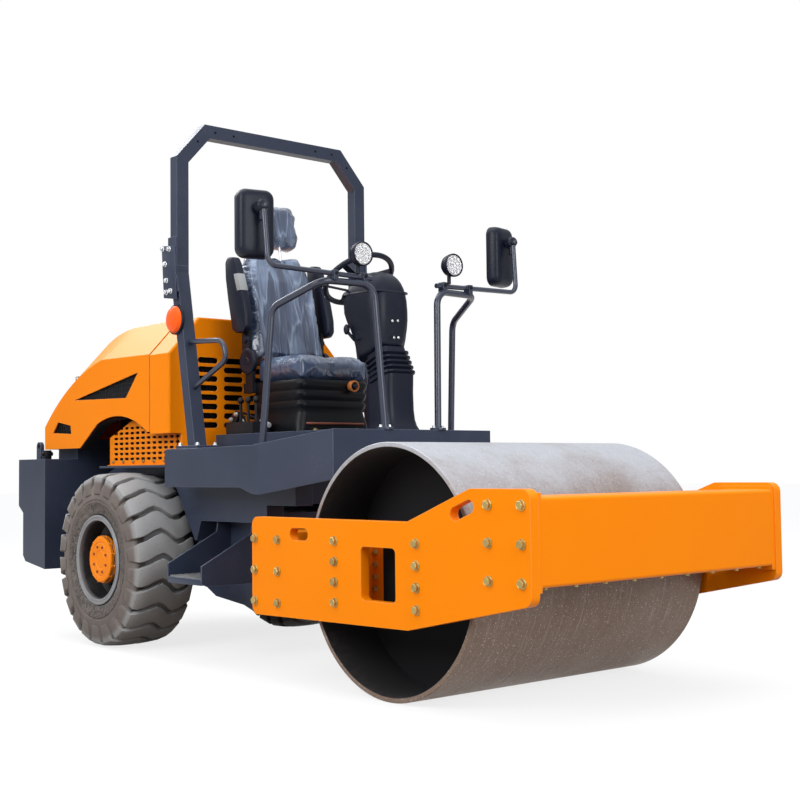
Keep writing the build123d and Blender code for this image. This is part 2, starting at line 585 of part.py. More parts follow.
# --- Platform: side decks, raised floor and front fascia ---
with BuildPart() as deck:
    with BuildSketch(Plane.XY.offset(DECK_TOP - DECK_WALL)) as plan:
        with BuildLine():
            Polyline(
                (DECK_REAR_X + 140, -inner_y), (SKIRT_BEND_X - 2, -inner_y),
                (DECK_FRONT_X - DECK_WALL, -SKIRT_FRONT_Y + 18),
                (DECK_FRONT_X - DECK_WALL, SKIRT_FRONT_Y - 18),
                (SKIRT_BEND_X - 2, inner_y), (DECK_REAR_X + 140, inner_y),
                (DECK_REAR_X + 140, GRILLE_Y), (DECK_REAR_X + 4, GRILLE_Y),
                (DECK_REAR_X + 4, -GRILLE_Y), (DECK_REAR_X + 140, -GRILLE_Y), close=True)
        make_face()
    extrude(amount=DECK_WALL)
    block((FLOOR_REAR_X, DECK_FRONT_X), (-FLOOR_HALF, FLOOR_HALF), (DECK_TOP, FLOOR_TOP))
    block((FLOOR_REAR_X + DECK_WALL, DECK_FRONT_X - DECK_WALL),
          (DECK_WALL - FLOOR_HALF, FLOOR_HALF - DECK_WALL),
          (DECK_TOP - DECK_WALL, FLOOR_TOP - DECK_WALL), mode=Mode.SUBTRACT)
    with BuildSketch(across(DECK_FRONT_X - DECK_WALL, 0)) as fascia:
        with BuildLine():
            Polyline(
                (-SKIRT_FRONT_Y, FLOOR_TOP), (-SKIRT_FRONT_Y, SKIRT_FRONT_Z),
                (-FASCIA_KNEE_Y, DECK_TOP - DECK_WALL), (FASCIA_KNEE_Y, DECK_TOP - DECK_WALL),
                (SKIRT_FRONT_Y, SKIRT_FRONT_Z), (SKIRT_FRONT_Y, FLOOR_TOP), close=True)
        make_face()
    extrude(amount=DECK_WALL)
    block((TANK_FRONT_X - DECK_WALL, TANK_FRONT_X), (-TANK_Y[0], TANK_Y[0]),
          (WALL_BOTTOM, FLOOR_TOP - DECK_WALL))
    add([skirt.part, mirror(skirt.part, about=Plane.XZ, mode=Mode.PRIVATE)], mode=Mode.SUBTRACT)
save(deck.part, "deck")

# --- Side tanks under the platform, on the frame rails ---
with BuildPart() as tank:
    with BuildSketch(Plane.XZ.offset(TANK_Y[0])) as tank_side:
        with BuildLine():
            Polyline(
                (TANK_FRONT_X, TANK_BOTTOM), (-2010, TANK_BOTTOM), (-2060, FENDER_BOTTOM),
                (-2112, FENDER_BOTTOM), (-2330, 979), (-2310, 1085), (-2190, 1085),
                (-2060, DECK_TOP - DECK_WALL), (WALL_FRONT_X, DECK_TOP - DECK_WALL),
                (WALL_FRONT_X, WALL_BOTTOM), (TANK_FRONT_X, WALL_BOTTOM), close=True)
        make_face()
    extrude(amount=TANK_Y[1] - TANK_Y[0])
    fender_edges = tank.faces().sort_by(Axis.Y)[0].edges().filter_by(
        lambda edge: -2330 < edge.center().X < -2112 and edge.center().Z < 1000)
    fillet(fender_edges, 40)
save_pair(tank.part, "tank")

# --- Boarding steps: a tread between two cheek plates ---
with BuildPart() as step:
    for x in STEP_X:
        with BuildSketch(Plane.YZ.offset(x - STEP_WALL / 2)) as cheek:
            with BuildLine():
                Polyline((-RAIL_Y[1], 440), (-RAIL_Y[1], TANK_BOTTOM), (-520, TANK_BOTTOM), (-528, 720),
                         (-STEP_OUT, 552), (-STEP_OUT, 458), (-STEP_OUT + 30, 440), close=True)
            make_face()
        extrude(amount=STEP_WALL)
    block(STEP_X, (-STEP_OUT + 2, -STEP_OUT + 240), (STEP_TOP - 32, STEP_TOP))
    block((STEP_X[0] + 12, STEP_X[1] - 12), (-STEP_OUT + 14, -STEP_OUT + 228),
          (STEP_TOP - 40, STEP_TOP - 4), mode=Mode.SUBTRACT)
save_pair(step.part, "step")

# --- Fixed front of the hood, with the slotted bulkhead behind the seat ---
with BuildPart() as bulkhead:
    with BuildSketch(across(HOOD_SEAM_X, 0)) as arch:
        with BuildLine():
            Polyline((-HOOD_HALF, HOOD_BOTTOM_Z), (-HOOD_HALF, HOOD_CREASE_Z),
                     (-HOOD_TOP_HALF, HOOD_TOP_Z), (HOOD_TOP_HALF, HOOD_TOP_Z),
                     (HOOD_HALF, HOOD_CREASE_Z), (HOOD_HALF, HOOD_BOTTOM_Z), close=True)
        make_face()
    extrude(amount=HOOD_FRONT_X - HOOD_SEAM_X)
    front_edges = bulkhead.faces().sort_by(Axis.X)[-1].edges().filter_by(
        lambda edge: edge.center().Z > HOOD_BOTTOM_Z + 1)
    fillet(front_edges, 14)
    with BuildSketch(across(HOOD_SEAM_X, 0)) as inside:
        with BuildLine():
            inner, inner_top = HOOD_HALF - HOOD_SKIN, HOOD_TOP_HALF - HOOD_SKIN / 2
            Polyline((-inner, HOOD_BOTTOM_Z - 1), (-inner, HOOD_CREASE_Z - HOOD_SKIN / 2),
                     (-inner_top, HOOD_TOP_Z - HOOD_SKIN), (inner_top, HOOD_TOP_Z - HOOD_SKIN),
                     (inner, HOOD_CREASE_Z - HOOD_SKIN / 2), (inner, HOOD_BOTTOM_Z - 1), close=True)
        make_face()
    extrude(amount=HOOD_FRONT_X - HOOD_SEAM_X - HOOD_SKIN, mode=Mode.SUBTRACT)
    block((HOOD_FRONT_X - HOOD_SKIN, HOOD_FRONT_X), (-GRILLE_Y, GRILLE_Y),
          (DECK_TOP - DECK_WALL, HOOD_BOTTOM_Z + 20))
    with BuildSketch(across(HOOD_FRONT_X - 3 * HOOD_SKIN, 0)):
        with Locations((0, 1556)):
            with GridLocations(187, 57, 5, 8):
                SlotOverall(143, 36)
    extrude(amount=4 * HOOD_SKIN, mode=Mode.SUBTRACT)
    for side in (-1, 1):
        with BuildSketch(Plane.XZ.offset(side * HINGE_Y - HINGE_WALL / 2)) as gooseneck:
            with BuildLine():
                Polyline((HOOD_FRONT_X - HOOD_SKIN, 1770), (HOOD_FRONT_X - HOOD_SKIN, 1840),
                         (-2500, 1840), (HINGE_AT[0] + 12, HINGE_AT[1] - 6),
                         (HINGE_AT[0] - 14, HINGE_AT[1]), (-2560, 1780), close=True)
            make_face()
            with Locations(HINGE_AT):
                Circle(14)
        extrude(amount=HINGE_WALL)
    with BuildSketch(Plane.XZ):
        with Locations(HINGE_AT):
            Circle(HINGE_PIN_R)
    extrude(amount=HINGE_Y + 2 * HINGE_WALL + 4, both=True)
save(bulkhead.part, "bulkhead")

# --- Side grilles below the hood ---
grille_front = HOOD_FRONT_X - HOOD_SKIN
with BuildPart() as grille:
    with BuildSketch(Plane.XZ.offset(GRILLE_Y - GRILLE_WALL)) as panel:
        with BuildLine():
            Polyline(
                (grille_front, LEDGE_TOP), (GRILLE_REAR_X, LEDGE_TOP),
                (GRILLE_REAR_X, GRILLE_TOP - GRILLE_CORNER[1]),
                (GRILLE_REAR_X + GRILLE_CORNER[0], GRILLE_TOP), (grille_front, GRILLE_TOP), close=True)
        make_face()
        with Locations(((GRILLE_REAR_X + grille_front) / 2 + 20, (LEDGE_TOP + GRILLE_TOP) / 2)):
            with GridLocations(*GRILLE_PITCH, 12, 7):
                SlotOverall(*GRILLE_SLOT, mode=Mode.SUBTRACT)
    extrude(amount=GRILLE_WALL)
save_pair(grille.part, "side_grille")

# --- Tilting hood: flat top, then an arc down to the tail, with sloping shoulders ---
hood_front = HOOD_SEAM_X - HOOD_SEAM_GAP


def hood_section(y, line, foot_shift):
    """Side outline at one distance from the middle: front, end of the flat, arc, tail."""
    front, flat_end, bow, tail = line
    with BuildSketch(Plane.XZ.offset(-y)) as section:
        with BuildLine():
            Polyline((front[0], HOOD_FOOT_Z), front, flat_end)
            ThreePointArc(flat_end, bow, tail)
            Polyline(tail, (tail[0] + foot_shift, HOOD_FOOT_Z), (front[0], HOOD_FOOT_Z))
        make_face()
    return section.sketch


def hood_form(skin):
    """The hood's outer form, or the hollow inside a skin of this thickness."""
    front_x = hood_front + 2 * skin
    top = ((front_x, 2026 - skin), (-2930, 2023 - skin), (-3457, 1898 - skin), (-3905 + skin, 1440))
    crease = ((front_x, 1797 - skin / 2), (-3045, 1806 - skin / 2), (-3500, 1651 - skin / 2),
              (-3880 + skin, 1390))
    top_half, half = HOOD_TOP_HALF - skin / 2, HOOD_HALF - skin
    with BuildPart() as form:
        extrude(hood_section(0, top, 20), amount=top_half, both=True)
        for side in (-1, 1):
            loft([hood_section(side * top_half, top, 20), hood_section(side * half, crease, 4)],
                 ruled=True)
    return form.part


with BuildPart() as hood:
    add(hood_form(0))
    add(hood_form(HOOD_SKIN), mode=Mode.SUBTRACT)
    with BuildSketch(Plane.XZ):
        with BuildLine():
            Polyline((-2300, 1150), (-2300, 1300), (-2465, 1321))
            ThreePointArc((-2465, 1321), (-2790, 1428), (-3112, 1389))
            Polyline((-3112, 1389), (-3366, 1228), (-3366, 1150), (-2300, 1150))
        make_face()
        for vent in HOOD_VENTS:
            with BuildLine():
                Polyline(*vent, close=True)
            make_face()
    extrude(amount=HOOD_HALF + 50, both=True, mode=Mode.SUBTRACT)
    block((-4000, -2300), (-700, 700), (HOOD_FOOT_Z - 1, HOOD_LOWEST_Z), mode=Mode.SUBTRACT)
    for side in (-1, 1):
        with BuildSketch(Plane.XZ.offset(side * (HINGE_Y + HINGE_WALL + 2) - HINGE_WALL / 2)) as lug:
            with BuildLine():
                Polyline((HINGE_AT[0] - 70, 2020), (HINGE_AT[0] + 40, 2020),
                         (HINGE_AT[0] + 14, HINGE_AT[1]), (HINGE_AT[0] - 14, HINGE_AT[1]), close=True)
            make_face()
            with Locations(HINGE_AT):
                Circle(14)
                Circle(HINGE_PIN_R + 0.4, mode=Mode.SUBTRACT)
        extrude(amount=HINGE_WALL)
save(hood.part, "hood")

# --- Roll-over hoop and its two leaning posts ---
with BuildPart() as hoop:
    tube_x, tube_y = ROPS_TUBE
    with BuildSketch(across(ROPS_X - tube_x / 2, 0)) as ring:
        with BuildLine():
            Polyline((-ROPS_HALF, ROPS_JOINT_Z), (-ROPS_HALF, ROPS_KNEE_Z), (-ROPS_TOP_HALF, ROPS_TOP),
                     (ROPS_TOP_HALF, ROPS_TOP), (ROPS_HALF, ROPS_KNEE_Z), (ROPS_HALF, ROPS_JOINT_Z),
                     close=True)
        make_face()
        with BuildLine():
            leg, knee, top = ROPS_HALF - tube_y, ROPS_KNEE_Z - 30, ROPS_TOP_HALF - 36
            Polyline((-leg, ROPS_JOINT_Z), (-leg, knee), (-top, ROPS_TOP - tube_y),
                     (top, ROPS_TOP - tube_y), (leg, knee), (leg, ROPS_JOINT_Z), close=True)
        make_face(mode=Mode.SUBTRACT)
    extrude(amount=tube_x)
save(hoop.part, "rops_hoop")

post_in = ROPS_HALF - tube_y
with BuildPart() as post:
    with BuildSketch(Plane.XZ.offset(post_in)) as lean:
        with BuildLine():
            Polyline((ROPS_BASE_X - tube_x / 2, DECK_TOP + 10), (ROPS_X - tube_x / 2, ROPS_JOINT_Z - 40),
                     (ROPS_X - tube_x / 2, ROPS_JOINT_Z), (ROPS_X + tube_x / 2, ROPS_JOINT_Z),
                     (ROPS_X + tube_x / 2, ROPS_JOINT_Z - 40), (ROPS_BASE_X + tube_x / 2, DECK_TOP + 10),
                     close=True)
        make_face()
    extrude(amount=tube_y)
    with BuildSketch(Plane.XZ.offset(ROPS_HALF)) as splice:
        with BuildLine():
            Polyline((ROPS_X - 45, 2460), (ROPS_X + 45, 2460), (ROPS_X + 45, 2240),
                     (ROPS_X + 72, 2130), (ROPS_X - 18, 2130), (ROPS_X - 45, 2240), close=True)
        make_face()
    extrude(amount=SPLICE_WALL)
    block((ROPS_BASE_X - 110, ROPS_BASE_X + 110), (-inner_y + 4, -post_in + 40),
          (DECK_TOP, DECK_TOP + 16))
save_pair(post.part, "rops_post")

# --- Corner handrails: swept tube on two round feet ---
HANDRAIL = ((-1157, -690, DECK_TOP), (-1100, -663, 1950), (-795, -551, 2073),
            (-760, -232, 2071), (-722, -192, FLOOR_TOP))
with BuildPart() as handrail:
    with BuildLine() as run:
        FilletPolyline(*HANDRAIL, radius=RAIL_BEND)
    with BuildSketch(Plane(origin=run.line @ 0, z_dir=run.line % 0)):
        Circle(RAIL_TUBE_R)
    sweep()
    for foot in (HANDRAIL[0], HANDRAIL[-1]):
        with Locations(foot):
            Cylinder(45, 12, align=(Align.CENTER, Align.CENTER, Align.MIN))
    block((-1250, -1000), (-760, -600), (DECK_TOP - 30, DECK_TOP), mode=Mode.SUBTRACT)
    block((-800, -650), (-260, -100), (FLOOR_TOP - 30, FLOOR_TOP), mode=Mode.SUBTRACT)
save_pair(handrail.part, "handrail")

# --- Mirror arms clamped on the handrails ---
ARM_CLAMPS = (290, 490)
ARM = ((-772, -236, 2105), (-792, -901, 2121), (-818, -908, 2430))
with BuildPart() as arm:
    with BuildLine() as arm_run:
        FilletPolyline(*ARM, radius=ARM_BEND)
    with BuildSketch(Plane(origin=arm_run.line @ 0, z_dir=arm_run.line % 0)):
        Circle(ARM_TUBE_R)
    sweep()
    with Locations(ARM[-1]):
        Sphere(22)
    for y in ARM_CLAMPS:
        block((ARM[0][0] - 26, ARM[0][0] + 20), (-y - 14, 14 - y), (HANDRAIL[3][2] + 4, 2128))
    add(handrail.part, mode=Mode.SUBTRACT)
save_pair(arm.part, "mirror_arm")

with BuildPart() as mirror_head:
    with Locations(Location((MIRROR_AT[0], -MIRROR_AT[1], MIRROR_AT[2]), (0, 0, 12))):
        Box(*MIRROR_SIZE)
    fillet(mirror_head.edges(), 24)
    with Locations(Location((ARM[-1][0], ARM[-1][1], ARM[-1][2]), (0, -90, 0))):
        Cylinder(13, 70, align=(Align.CENTER, Align.CENTER, Align.MIN))
    add(arm.part, mode=Mode.SUBTRACT)
save_pair(mirror_head.part, "mirror")

# --- Round work lamps on the arms ---
with BuildPart() as lamp:
    with BuildSketch(Plane(origin=(LAMP_AT[0], -LAMP_AT[1], LAMP_AT[2]), x_dir=(1, 0, 0),
                           z_dir=(0, -1, 0))) as lamp_half:
        with BuildLine():
            Polyline((30, 0), (30, LAMP_R - 6), (22, LAMP_R), (0, LAMP_R), (-36, LAMP_R - 22),
                     (-48, LAMP_R - 40), (-48, 0), close=True)
        make_face()
    revolve(axis=Axis((LAMP_AT[0], -LAMP_AT[1], LAMP_AT[2]), (1, 0, 0)))
    with Locations((LAMP_AT[0] - 12, -LAMP_AT[1], LAMP_AT[2] - LAMP_R - 16)):
        Cylinder(11, 50)
save_pair(lamp.part, "work_lamp")

# --- Seat ---
recliner_x, recliner_z = RECLINER_AT
with BuildPart() as seat_base:
    block((-1800, -1440), (-SEAT_FOOT_HALF, SEAT_FOOT_HALF), (FLOOR_TOP, FLOOR_TOP + 43))
    block((-1830, -1450), (20 - BELLOWS_HALF, BELLOWS_HALF - 20), (FLOOR_TOP + 43, BELLOWS_Z))
    block(BELLOWS_X, (-BELLOWS_HALF, BELLOWS_HALF), (BELLOWS_Z, SEAT_Z[0]))
    for side in (-1, 1):
        block((recliner_x - 62, recliner_x + 62), (side * BELLOWS_HALF, side * (SEAT_HALF + 12)),
              (SEAT_Z[0] - 60, SEAT_Z[0]))
        with BuildSketch(Plane.XZ.offset(side * (SEAT_HALF + 12) - RECLINER_WALL / 2)):
            with Locations(RECLINER_AT):
                Circle(RECLINER_R)
            with Locations((recliner_x - 25, recliner_z + 90), (recliner_x + 12, recliner_z - 80)):
                Rectangle(74, 220)
        extrude(amount=RECLINER_WALL)
save(seat_base.part, "seat_base")

with BuildPart() as cushion:
    block(SEAT_X, (-SEAT_HALF, SEAT_HALF), SEAT_Z)
    fillet(cushion.edges(), 40)
    add(seat_base.part, mode=Mode.SUBTRACT)
save(cushion.part, "seat_cushion")

back_plane = Plane(origin=(RECLINER_AT[0], 0, SEAT_Z[1] - 20), x_dir=(0, 1, 0),
                   z_dir=(-sin(radians(BACK_LEAN)), 0, cos(radians(BACK_LEAN))))
with BuildPart() as back:
    with BuildSketch(back_plane):
        RectangleRounded(2 * SEAT_HALF, BACK_WALL, 35)
    extrude(amount=BACK_LENGTH)
    add([seat_base.part, cushion.part], mode=Mode.SUBTRACT)
save(back.part, "seat_back")

with BuildPart() as headrest:
    with BuildSketch(back_plane.offset(BACK_LENGTH + 20)):
        with Locations((0, -30)):
            RectangleRounded(HEADREST[0], HEADREST[1], 45)
    extrude(amount=HEADREST[2])
    with BuildSketch(back_plane.offset(BACK_LENGTH)):
        with Locations((-70, 0), (70, 0)):
            Circle(8)
    extrude(amount=21)
save(headrest.part, "headrest")

# Armrests stand folded up beside the backrest.
with BuildPart() as armrest:
    with BuildSketch(Plane.XZ.offset(SEAT_HALF + 12 + RECLINER_WALL / 2)) as rest:
        with BuildLine():
            Polyline((-1975, FLOOR_TOP + 625), (-1845, FLOOR_TOP + 625), (-1965, FLOOR_TOP + 1090),
                     (-2055, FLOOR_TOP + 1090), close=True)
        make_face()
        fillet(rest.vertices(), 30)
    extrude(amount=55)
    with BuildSketch(Plane.XZ.offset(SEAT_HALF)) as arm_pivot:
        with Locations((-1940, FLOOR_TOP + 682)):
            Circle(24)
    extrude(amount=30)
save_pair(armrest.part, "armrest")

# --- Console and steering wheel ---
# Sections by height above the floor, middle x, depth along x and width along y.
CONSOLE = (
    (0, -875, 270, 230), (40, -870, 220, 140), (350, -905, 215, 140), (470, -925, 235, 170),
    (575, -1015, 290, 236), (715, -1045, 335, 250), (830, -1010, 300, 230), (900, -985, 210, 170),
)
with BuildPart() as console:
    for height, x, depth, width in CONSOLE:
        with BuildSketch(Plane.XY.offset(FLOOR_TOP + height)):
            with Locations((x, 0)):
                RectangleRounded(depth, width, width / 4)
    loft(ruled=True)
save(console.part, "console")

wheel_axis = Vector(-sin(radians(WHEEL_TILT)), 0, cos(radians(WHEEL_TILT)))
wheel_plane = Plane(origin=WHEEL_AT, x_dir=(0, 1, 0), z_dir=wheel_axis)
with BuildPart() as wheel:
    with BuildSketch(Plane(origin=WHEEL_AT, x_dir=(0, 1, 0), z_dir=wheel_axis.cross(Vector(0, 1, 0)))):
        with Locations((WHEEL_R, 0)):
            Circle(WHEEL_RIM_R)
    revolve(axis=Axis(WHEEL_AT, wheel_axis))
    with BuildSketch(wheel_plane.offset(-30)):
        Circle(45)
    extrude(amount=40)
    for turn in (90, 210, 330):
        with BuildSketch(wheel_plane.offset(-8)):
            with Locations(Location((0, 0, 0), (0, 0, turn))):
                with Locations((WHEEL_R / 2, 0)):
                    Rectangle(WHEEL_R, 34)
        extrude(amount=10)
save(wheel.part, "steering_wheel")

with BuildPart() as column:
    with BuildSketch(wheel_plane.offset(-31)):
        Circle(30)
    extrude(amount=-150)
    add(console.part, mode=Mode.SUBTRACT)
save(column.part, "steering_column")

# --- Control levers beside the seat ---
with BuildPart() as levers:
    block((-1930, -1650), (-420, -300), (FLOOR_TOP, 1360))
    for x in (-1860, -1780, -1700):
        with BuildSketch(Plane.XY.offset(1360)):
            with Locations((x, -360)):
                Circle(9)
        extrude(amount=120)
        with Locations((x, -360, 1490)):
            Sphere(20)
save(levers.part, "control_levers")
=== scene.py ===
from math import cos, pi, radians, sin

import bpy
from mathutils import Matrix, Vector, noise


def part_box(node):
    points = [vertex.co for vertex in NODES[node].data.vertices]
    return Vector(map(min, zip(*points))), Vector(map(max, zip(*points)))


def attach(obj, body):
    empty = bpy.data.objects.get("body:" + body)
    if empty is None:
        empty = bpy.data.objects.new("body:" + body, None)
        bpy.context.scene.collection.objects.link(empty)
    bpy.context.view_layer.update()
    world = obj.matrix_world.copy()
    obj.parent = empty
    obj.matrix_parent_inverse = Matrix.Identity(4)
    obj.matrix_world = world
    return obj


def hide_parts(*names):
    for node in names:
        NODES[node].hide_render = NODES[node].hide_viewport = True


bl_info = {
    "name": "Single-drum roller",
    "version": (1, 0, 0),
    "blender": (4, 5, 0),
    "location": "3D View > Sidebar > Roller",
    "description": "Dresses the packed road roller with its finishes, fittings and soft parts",
    "category": "Object",
}

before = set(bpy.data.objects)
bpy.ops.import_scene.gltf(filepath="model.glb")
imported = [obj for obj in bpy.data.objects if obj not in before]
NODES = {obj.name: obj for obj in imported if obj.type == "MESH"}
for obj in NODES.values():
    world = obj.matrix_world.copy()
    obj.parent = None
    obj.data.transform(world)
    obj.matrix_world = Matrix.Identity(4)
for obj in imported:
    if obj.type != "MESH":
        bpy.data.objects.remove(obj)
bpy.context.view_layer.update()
SIDES = ("right", "left")
OUT, AHEAD, UP = (0, -1, 0), (1, 0, 0), (0, 0, 1)  # outwards is the machine's right
GROUPS, FINISHES = {}, {}


def middle_of(node_name):
    """Middle of a node's box at rest."""
    low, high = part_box(node_name)
    return (Vector(low) + Vector(high)) / 2


DRUM_AXIS = middle_of("drum")
AXLE = middle_of("rear_axle")
AXLE.z = middle_of("right_tyre").z


def at(x, y, z):
    """A place given in millimetres from the ground under the drum's axis."""
    return Vector((DRUM_AXIS.x + x / 1000, y / 1000, z / 1000))


def path(*spots):
    """Several places, each (x, y, z)."""
    return [at(*spot) for spot in spots]


def side_path(y, *spots):
    """Several places (x, z) at one distance y across the machine."""
    return [at(x, y, z) for x, z in spots]


# ---------------------------------------------------------------- modelling helpers
# Places are vectors in metres; radii, edges, profiles and rows of sizes are in millimetres.

def deselect():
    if bpy.context.object and bpy.context.object.mode != "OBJECT":
        bpy.ops.object.mode_set(mode="OBJECT")
    bpy.ops.object.select_all(action="DESELECT")


def pick(*pieces):
    deselect()
    for piece in pieces:
        piece.select_set(True)
    bpy.context.view_layer.objects.active = pieces[0]


def edit(piece):
    """Open the piece in edit mode with all of it selected."""
    pick(piece)
    bpy.ops.object.mode_set(mode="EDIT")
    bpy.ops.mesh.select_all(action="SELECT")


def close(piece):
    """Weld the piece, turn its faces outwards and leave edit mode."""
    bpy.ops.mesh.select_all(action="SELECT")
    bpy.ops.mesh.remove_doubles(threshold=0.00005)
    bpy.ops.mesh.normals_make_consistent(inside=False)
    bpy.ops.object.mode_set(mode="OBJECT")
    return piece


def cut(place, normal):
    """In edit mode, cut the whole piece along a plane."""
    bpy.ops.mesh.select_all(action="SELECT")
    bpy.ops.mesh.bisect(plane_co=place, plane_no=normal)


def extrude(move):
    bpy.ops.mesh.extrude_region_move(TRANSFORM_OT_translate={"value": move})


def choose(piece, test):
    """In edit mode, select the vertices whose place passes the test, and the faces between them."""
    bpy.ops.mesh.select_mode(type="VERT")
    bpy.ops.mesh.select_all(action="DESELECT")
    bpy.ops.object.mode_set(mode="OBJECT")
    for vertex in piece.data.vertices:
        vertex.select = test(vertex.co)
    bpy.ops.object.mode_set(mode="EDIT")
    bpy.ops.mesh.select_mode(type="VERT")


def push(piece, move, test):
    """In edit mode, move what passes the test."""
    choose(piece, test)
    bpy.ops.transform.translate(value=move)


def squeeze(piece, scale, centre, test):
    """In edit mode, scale what passes the test about a centre."""
    choose(piece, test)
    bpy.ops.transform.resize(value=scale, center_override=centre)


def settle(piece, name=None):
    """Put the piece's place into its mesh, and name it."""
    pick(piece)
    bpy.ops.object.transform_apply(location=True, rotation=True, scale=True)
    if name:
        piece.name = name
    return piece


def modify(piece, kind, **values):
    """Add one modifier and apply it."""
    pick(piece)
    modifier = piece.modifiers.new(kind.title(), kind)
    for key, value in values.items():
        setattr(modifier, key, value)
    bpy.ops.object.modifier_apply(modifier=modifier.name)
    return piece


def smooth(piece, angle=35):
    pick(piece)
    bpy.ops.object.shade_smooth_by_angle(angle=radians(angle))
    return piece


def round_edges(piece, width, steps=2, angle=30):
    if width:
        modify(piece, "BEVEL", width=width / 1000, segments=steps, limit_method="ANGLE",
               angle_limit=radians(angle))
    return piece


def block(name, low, high, edge=0, steps=2):
    """A box between two corners with rounded edges."""
    low, high = Vector(low), Vector(high)
    deselect()
    bpy.ops.mesh.primitive_cube_add(size=1, location=(low + high) / 2,
                                    scale=[abs(span) for span in high - low])
    return smooth(round_edges(settle(bpy.context.object, name), edge, steps))


def rod(name, start, end, radius, tip=None, corners=24, edge=0):
    """A round bar, or a cone when tip is given, from one point to another."""
    start, end = Vector(start), Vector(end)
    along = end - start
    deselect()
    bpy.ops.mesh.primitive_cone_add(
        vertices=corners, radius1=radius / 1000, radius2=(tip or radius) / 1000,
        depth=along.length, location=(start + end) / 2,
        rotation=along.to_track_quat("Z", "Y").to_euler())
    return smooth(round_edges(settle(bpy.context.object, name), edge, angle=50))


def ball(name, centre, radius, scale=(1, 1, 1)):
    deselect()
    bpy.ops.mesh.primitive_uv_sphere_add(
        segments=24, ring_count=12, radius=radius / 1000, location=centre, scale=scale)
    return smooth(settle(bpy.context.object, name), 180)


def ring(name, centre, axis, radius, thickness):
    deselect()
    bpy.ops.mesh.primitive_torus_add(
        location=centre, rotation=Vector(axis).to_track_quat("Z", "Y").to_euler(),
        major_radius=radius / 1000, minor_radius=thickness / 1000,
        major_segments=40, minor_segments=8)
    return smooth(settle(bpy.context.object, name), 180)


def draw(name, points):
    """Draw a line in edit mode, extruding one vertex from point to point."""
    deselect()
    bpy.ops.mesh.primitive_circle_add(vertices=3, radius=0.001, location=(0, 0, 0))
    piece = bpy.context.object
    piece.name = name
    edit(piece)
    bpy.ops.mesh.merge(type="CENTER")
    bpy.ops.transform.translate(value=Vector(points[0]))
    for here, there in zip(points, points[1:]):
        bpy.ops.mesh.extrude_vertices_move(
            TRANSFORM_OT_translate={"value": Vector(there) - Vector(here)})
    bpy.ops.mesh.select_all(action="SELECT")
    return piece


def bent(points, radius):
    """The same path with each inner corner rounded."""
    steps = 6
    line = [points[0]]
    for before, corner, after in zip(points, points[1:], points[2:]):
        back, ahead = before - corner, after - corner
        reach = min(radius / 1000, back.length / 2, ahead.length / 2)
        for step in range(steps + 1):
            share = step / steps
            line.append(corner + back.normalized() * reach * (1 - share) ** 2
                        + ahead.normalized() * reach * share ** 2)
    return line + [points[-1]]


def tube(name, points, radius, bend):
    """A tube along a path of corner points."""
    draw(name, bent(points, bend))
    bpy.ops.object.mode_set(mode="OBJECT")
    bpy.ops.object.convert(target="CURVE")
    curve = bpy.context.object.data
    curve.bevel_depth = radius / 1000
    curve.bevel_resolution = 3
    curve.use_fill_caps = True
    bpy.ops.object.convert(target="MESH")
    piece = bpy.context.object
    piece.name = name
    return smooth(piece, 50)


def lathe(name, profile, centre, axis, steps=48):
    """Spin an outline of (along, radius) pairs about an axis through centre."""
    axis, centre = Vector(axis).normalized(), Vector(centre)
    side = axis.orthogonal().normalized()
    piece = draw(name, [centre + axis * (along / 1000) + side * (radius / 1000)
                        for along, radius in profile])
    bpy.ops.mesh.spin(steps=steps, angle=2 * pi, center=centre, axis=axis, dupli=False)
    return smooth(close(piece))


def prism(name, outline, thickness, edge):
    """A plate drawn through the outline's points and extruded by a thickness vector."""
    piece = draw(name, outline)
    bpy.ops.mesh.edge_face_add()
    extrude(thickness)
    return smooth(round_edges(close(piece), edge))


def tower(name, rows, corner, steps, origin=at(0, 0, 0)):
    """Rounded rectangles stacked by extrusion: rows of (z, x, depth, width)."""
    rows = [(origin + Vector((x, 0, z)) / 1000, depth / 1000, width / 1000)
            for z, x, depth, width in rows]
    foot, depth, width = rows[0]
    deselect()
    bpy.ops.mesh.primitive_plane_add(size=1, location=foot)
    piece = settle(bpy.context.object, name)
    edit(piece)
    bpy.ops.transform.resize(value=(depth, width, 1), center_override=foot)
    bpy.ops.mesh.bevel(offset=corner / 1000, segments=steps, affect="VERTICES")
    for before, (place, depth, width) in zip(rows, rows[1:]):
        extrude(place - before[0])
        bpy.ops.transform.resize(value=(depth / before[1], width / before[2], 1),
                                 center_override=place)
    return smooth(close(piece), 40)


def join(name, pieces):
    pick(*pieces)
    if len(pieces) > 1:
        bpy.ops.object.join()
    return settle(bpy.context.object, name)


def copies(piece, name, placements):
    """Join copies of a piece, one for each placement matrix, and drop the pattern."""
    made = []
    for matrix in placements:
        twin = piece.copy()
        twin.data = piece.data.copy()
        bpy.context.collection.objects.link(twin)
        twin.matrix_world = matrix
        made.append(twin)
    bpy.data.objects.remove(piece)
    return join(name, made)


def mirrored(piece, name):
    """A copy on the machine's other side."""
    pick(piece)
    bpy.ops.object.duplicate()
    twin = bpy.context.object
    twin.scale.y = -1
    edit(settle(twin, name))
    bpy.ops.mesh.normals_make_consistent(inside=False)
    bpy.ops.object.mode_set(mode="OBJECT")
    return twin


def fit_out(piece, finish, body="rear_frame"):
    """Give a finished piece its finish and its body."""
    piece.data.materials.clear()
    piece.data.materials.append(FINISHES[finish])
    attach(piece, body)
    return piece


def fit_pair(piece, finish, body="rear_frame"):
    """Fit out a right-hand piece and its mirror image; body may hold a {side}."""
    name = piece.name
    pair = (piece, mirrored(piece, "left_" + name))
    piece.name = "right_" + name
    for side, part in zip(SIDES, pair):
        fit_out(part, finish, body.format(side=side))
    return zip(pair, SIDES)


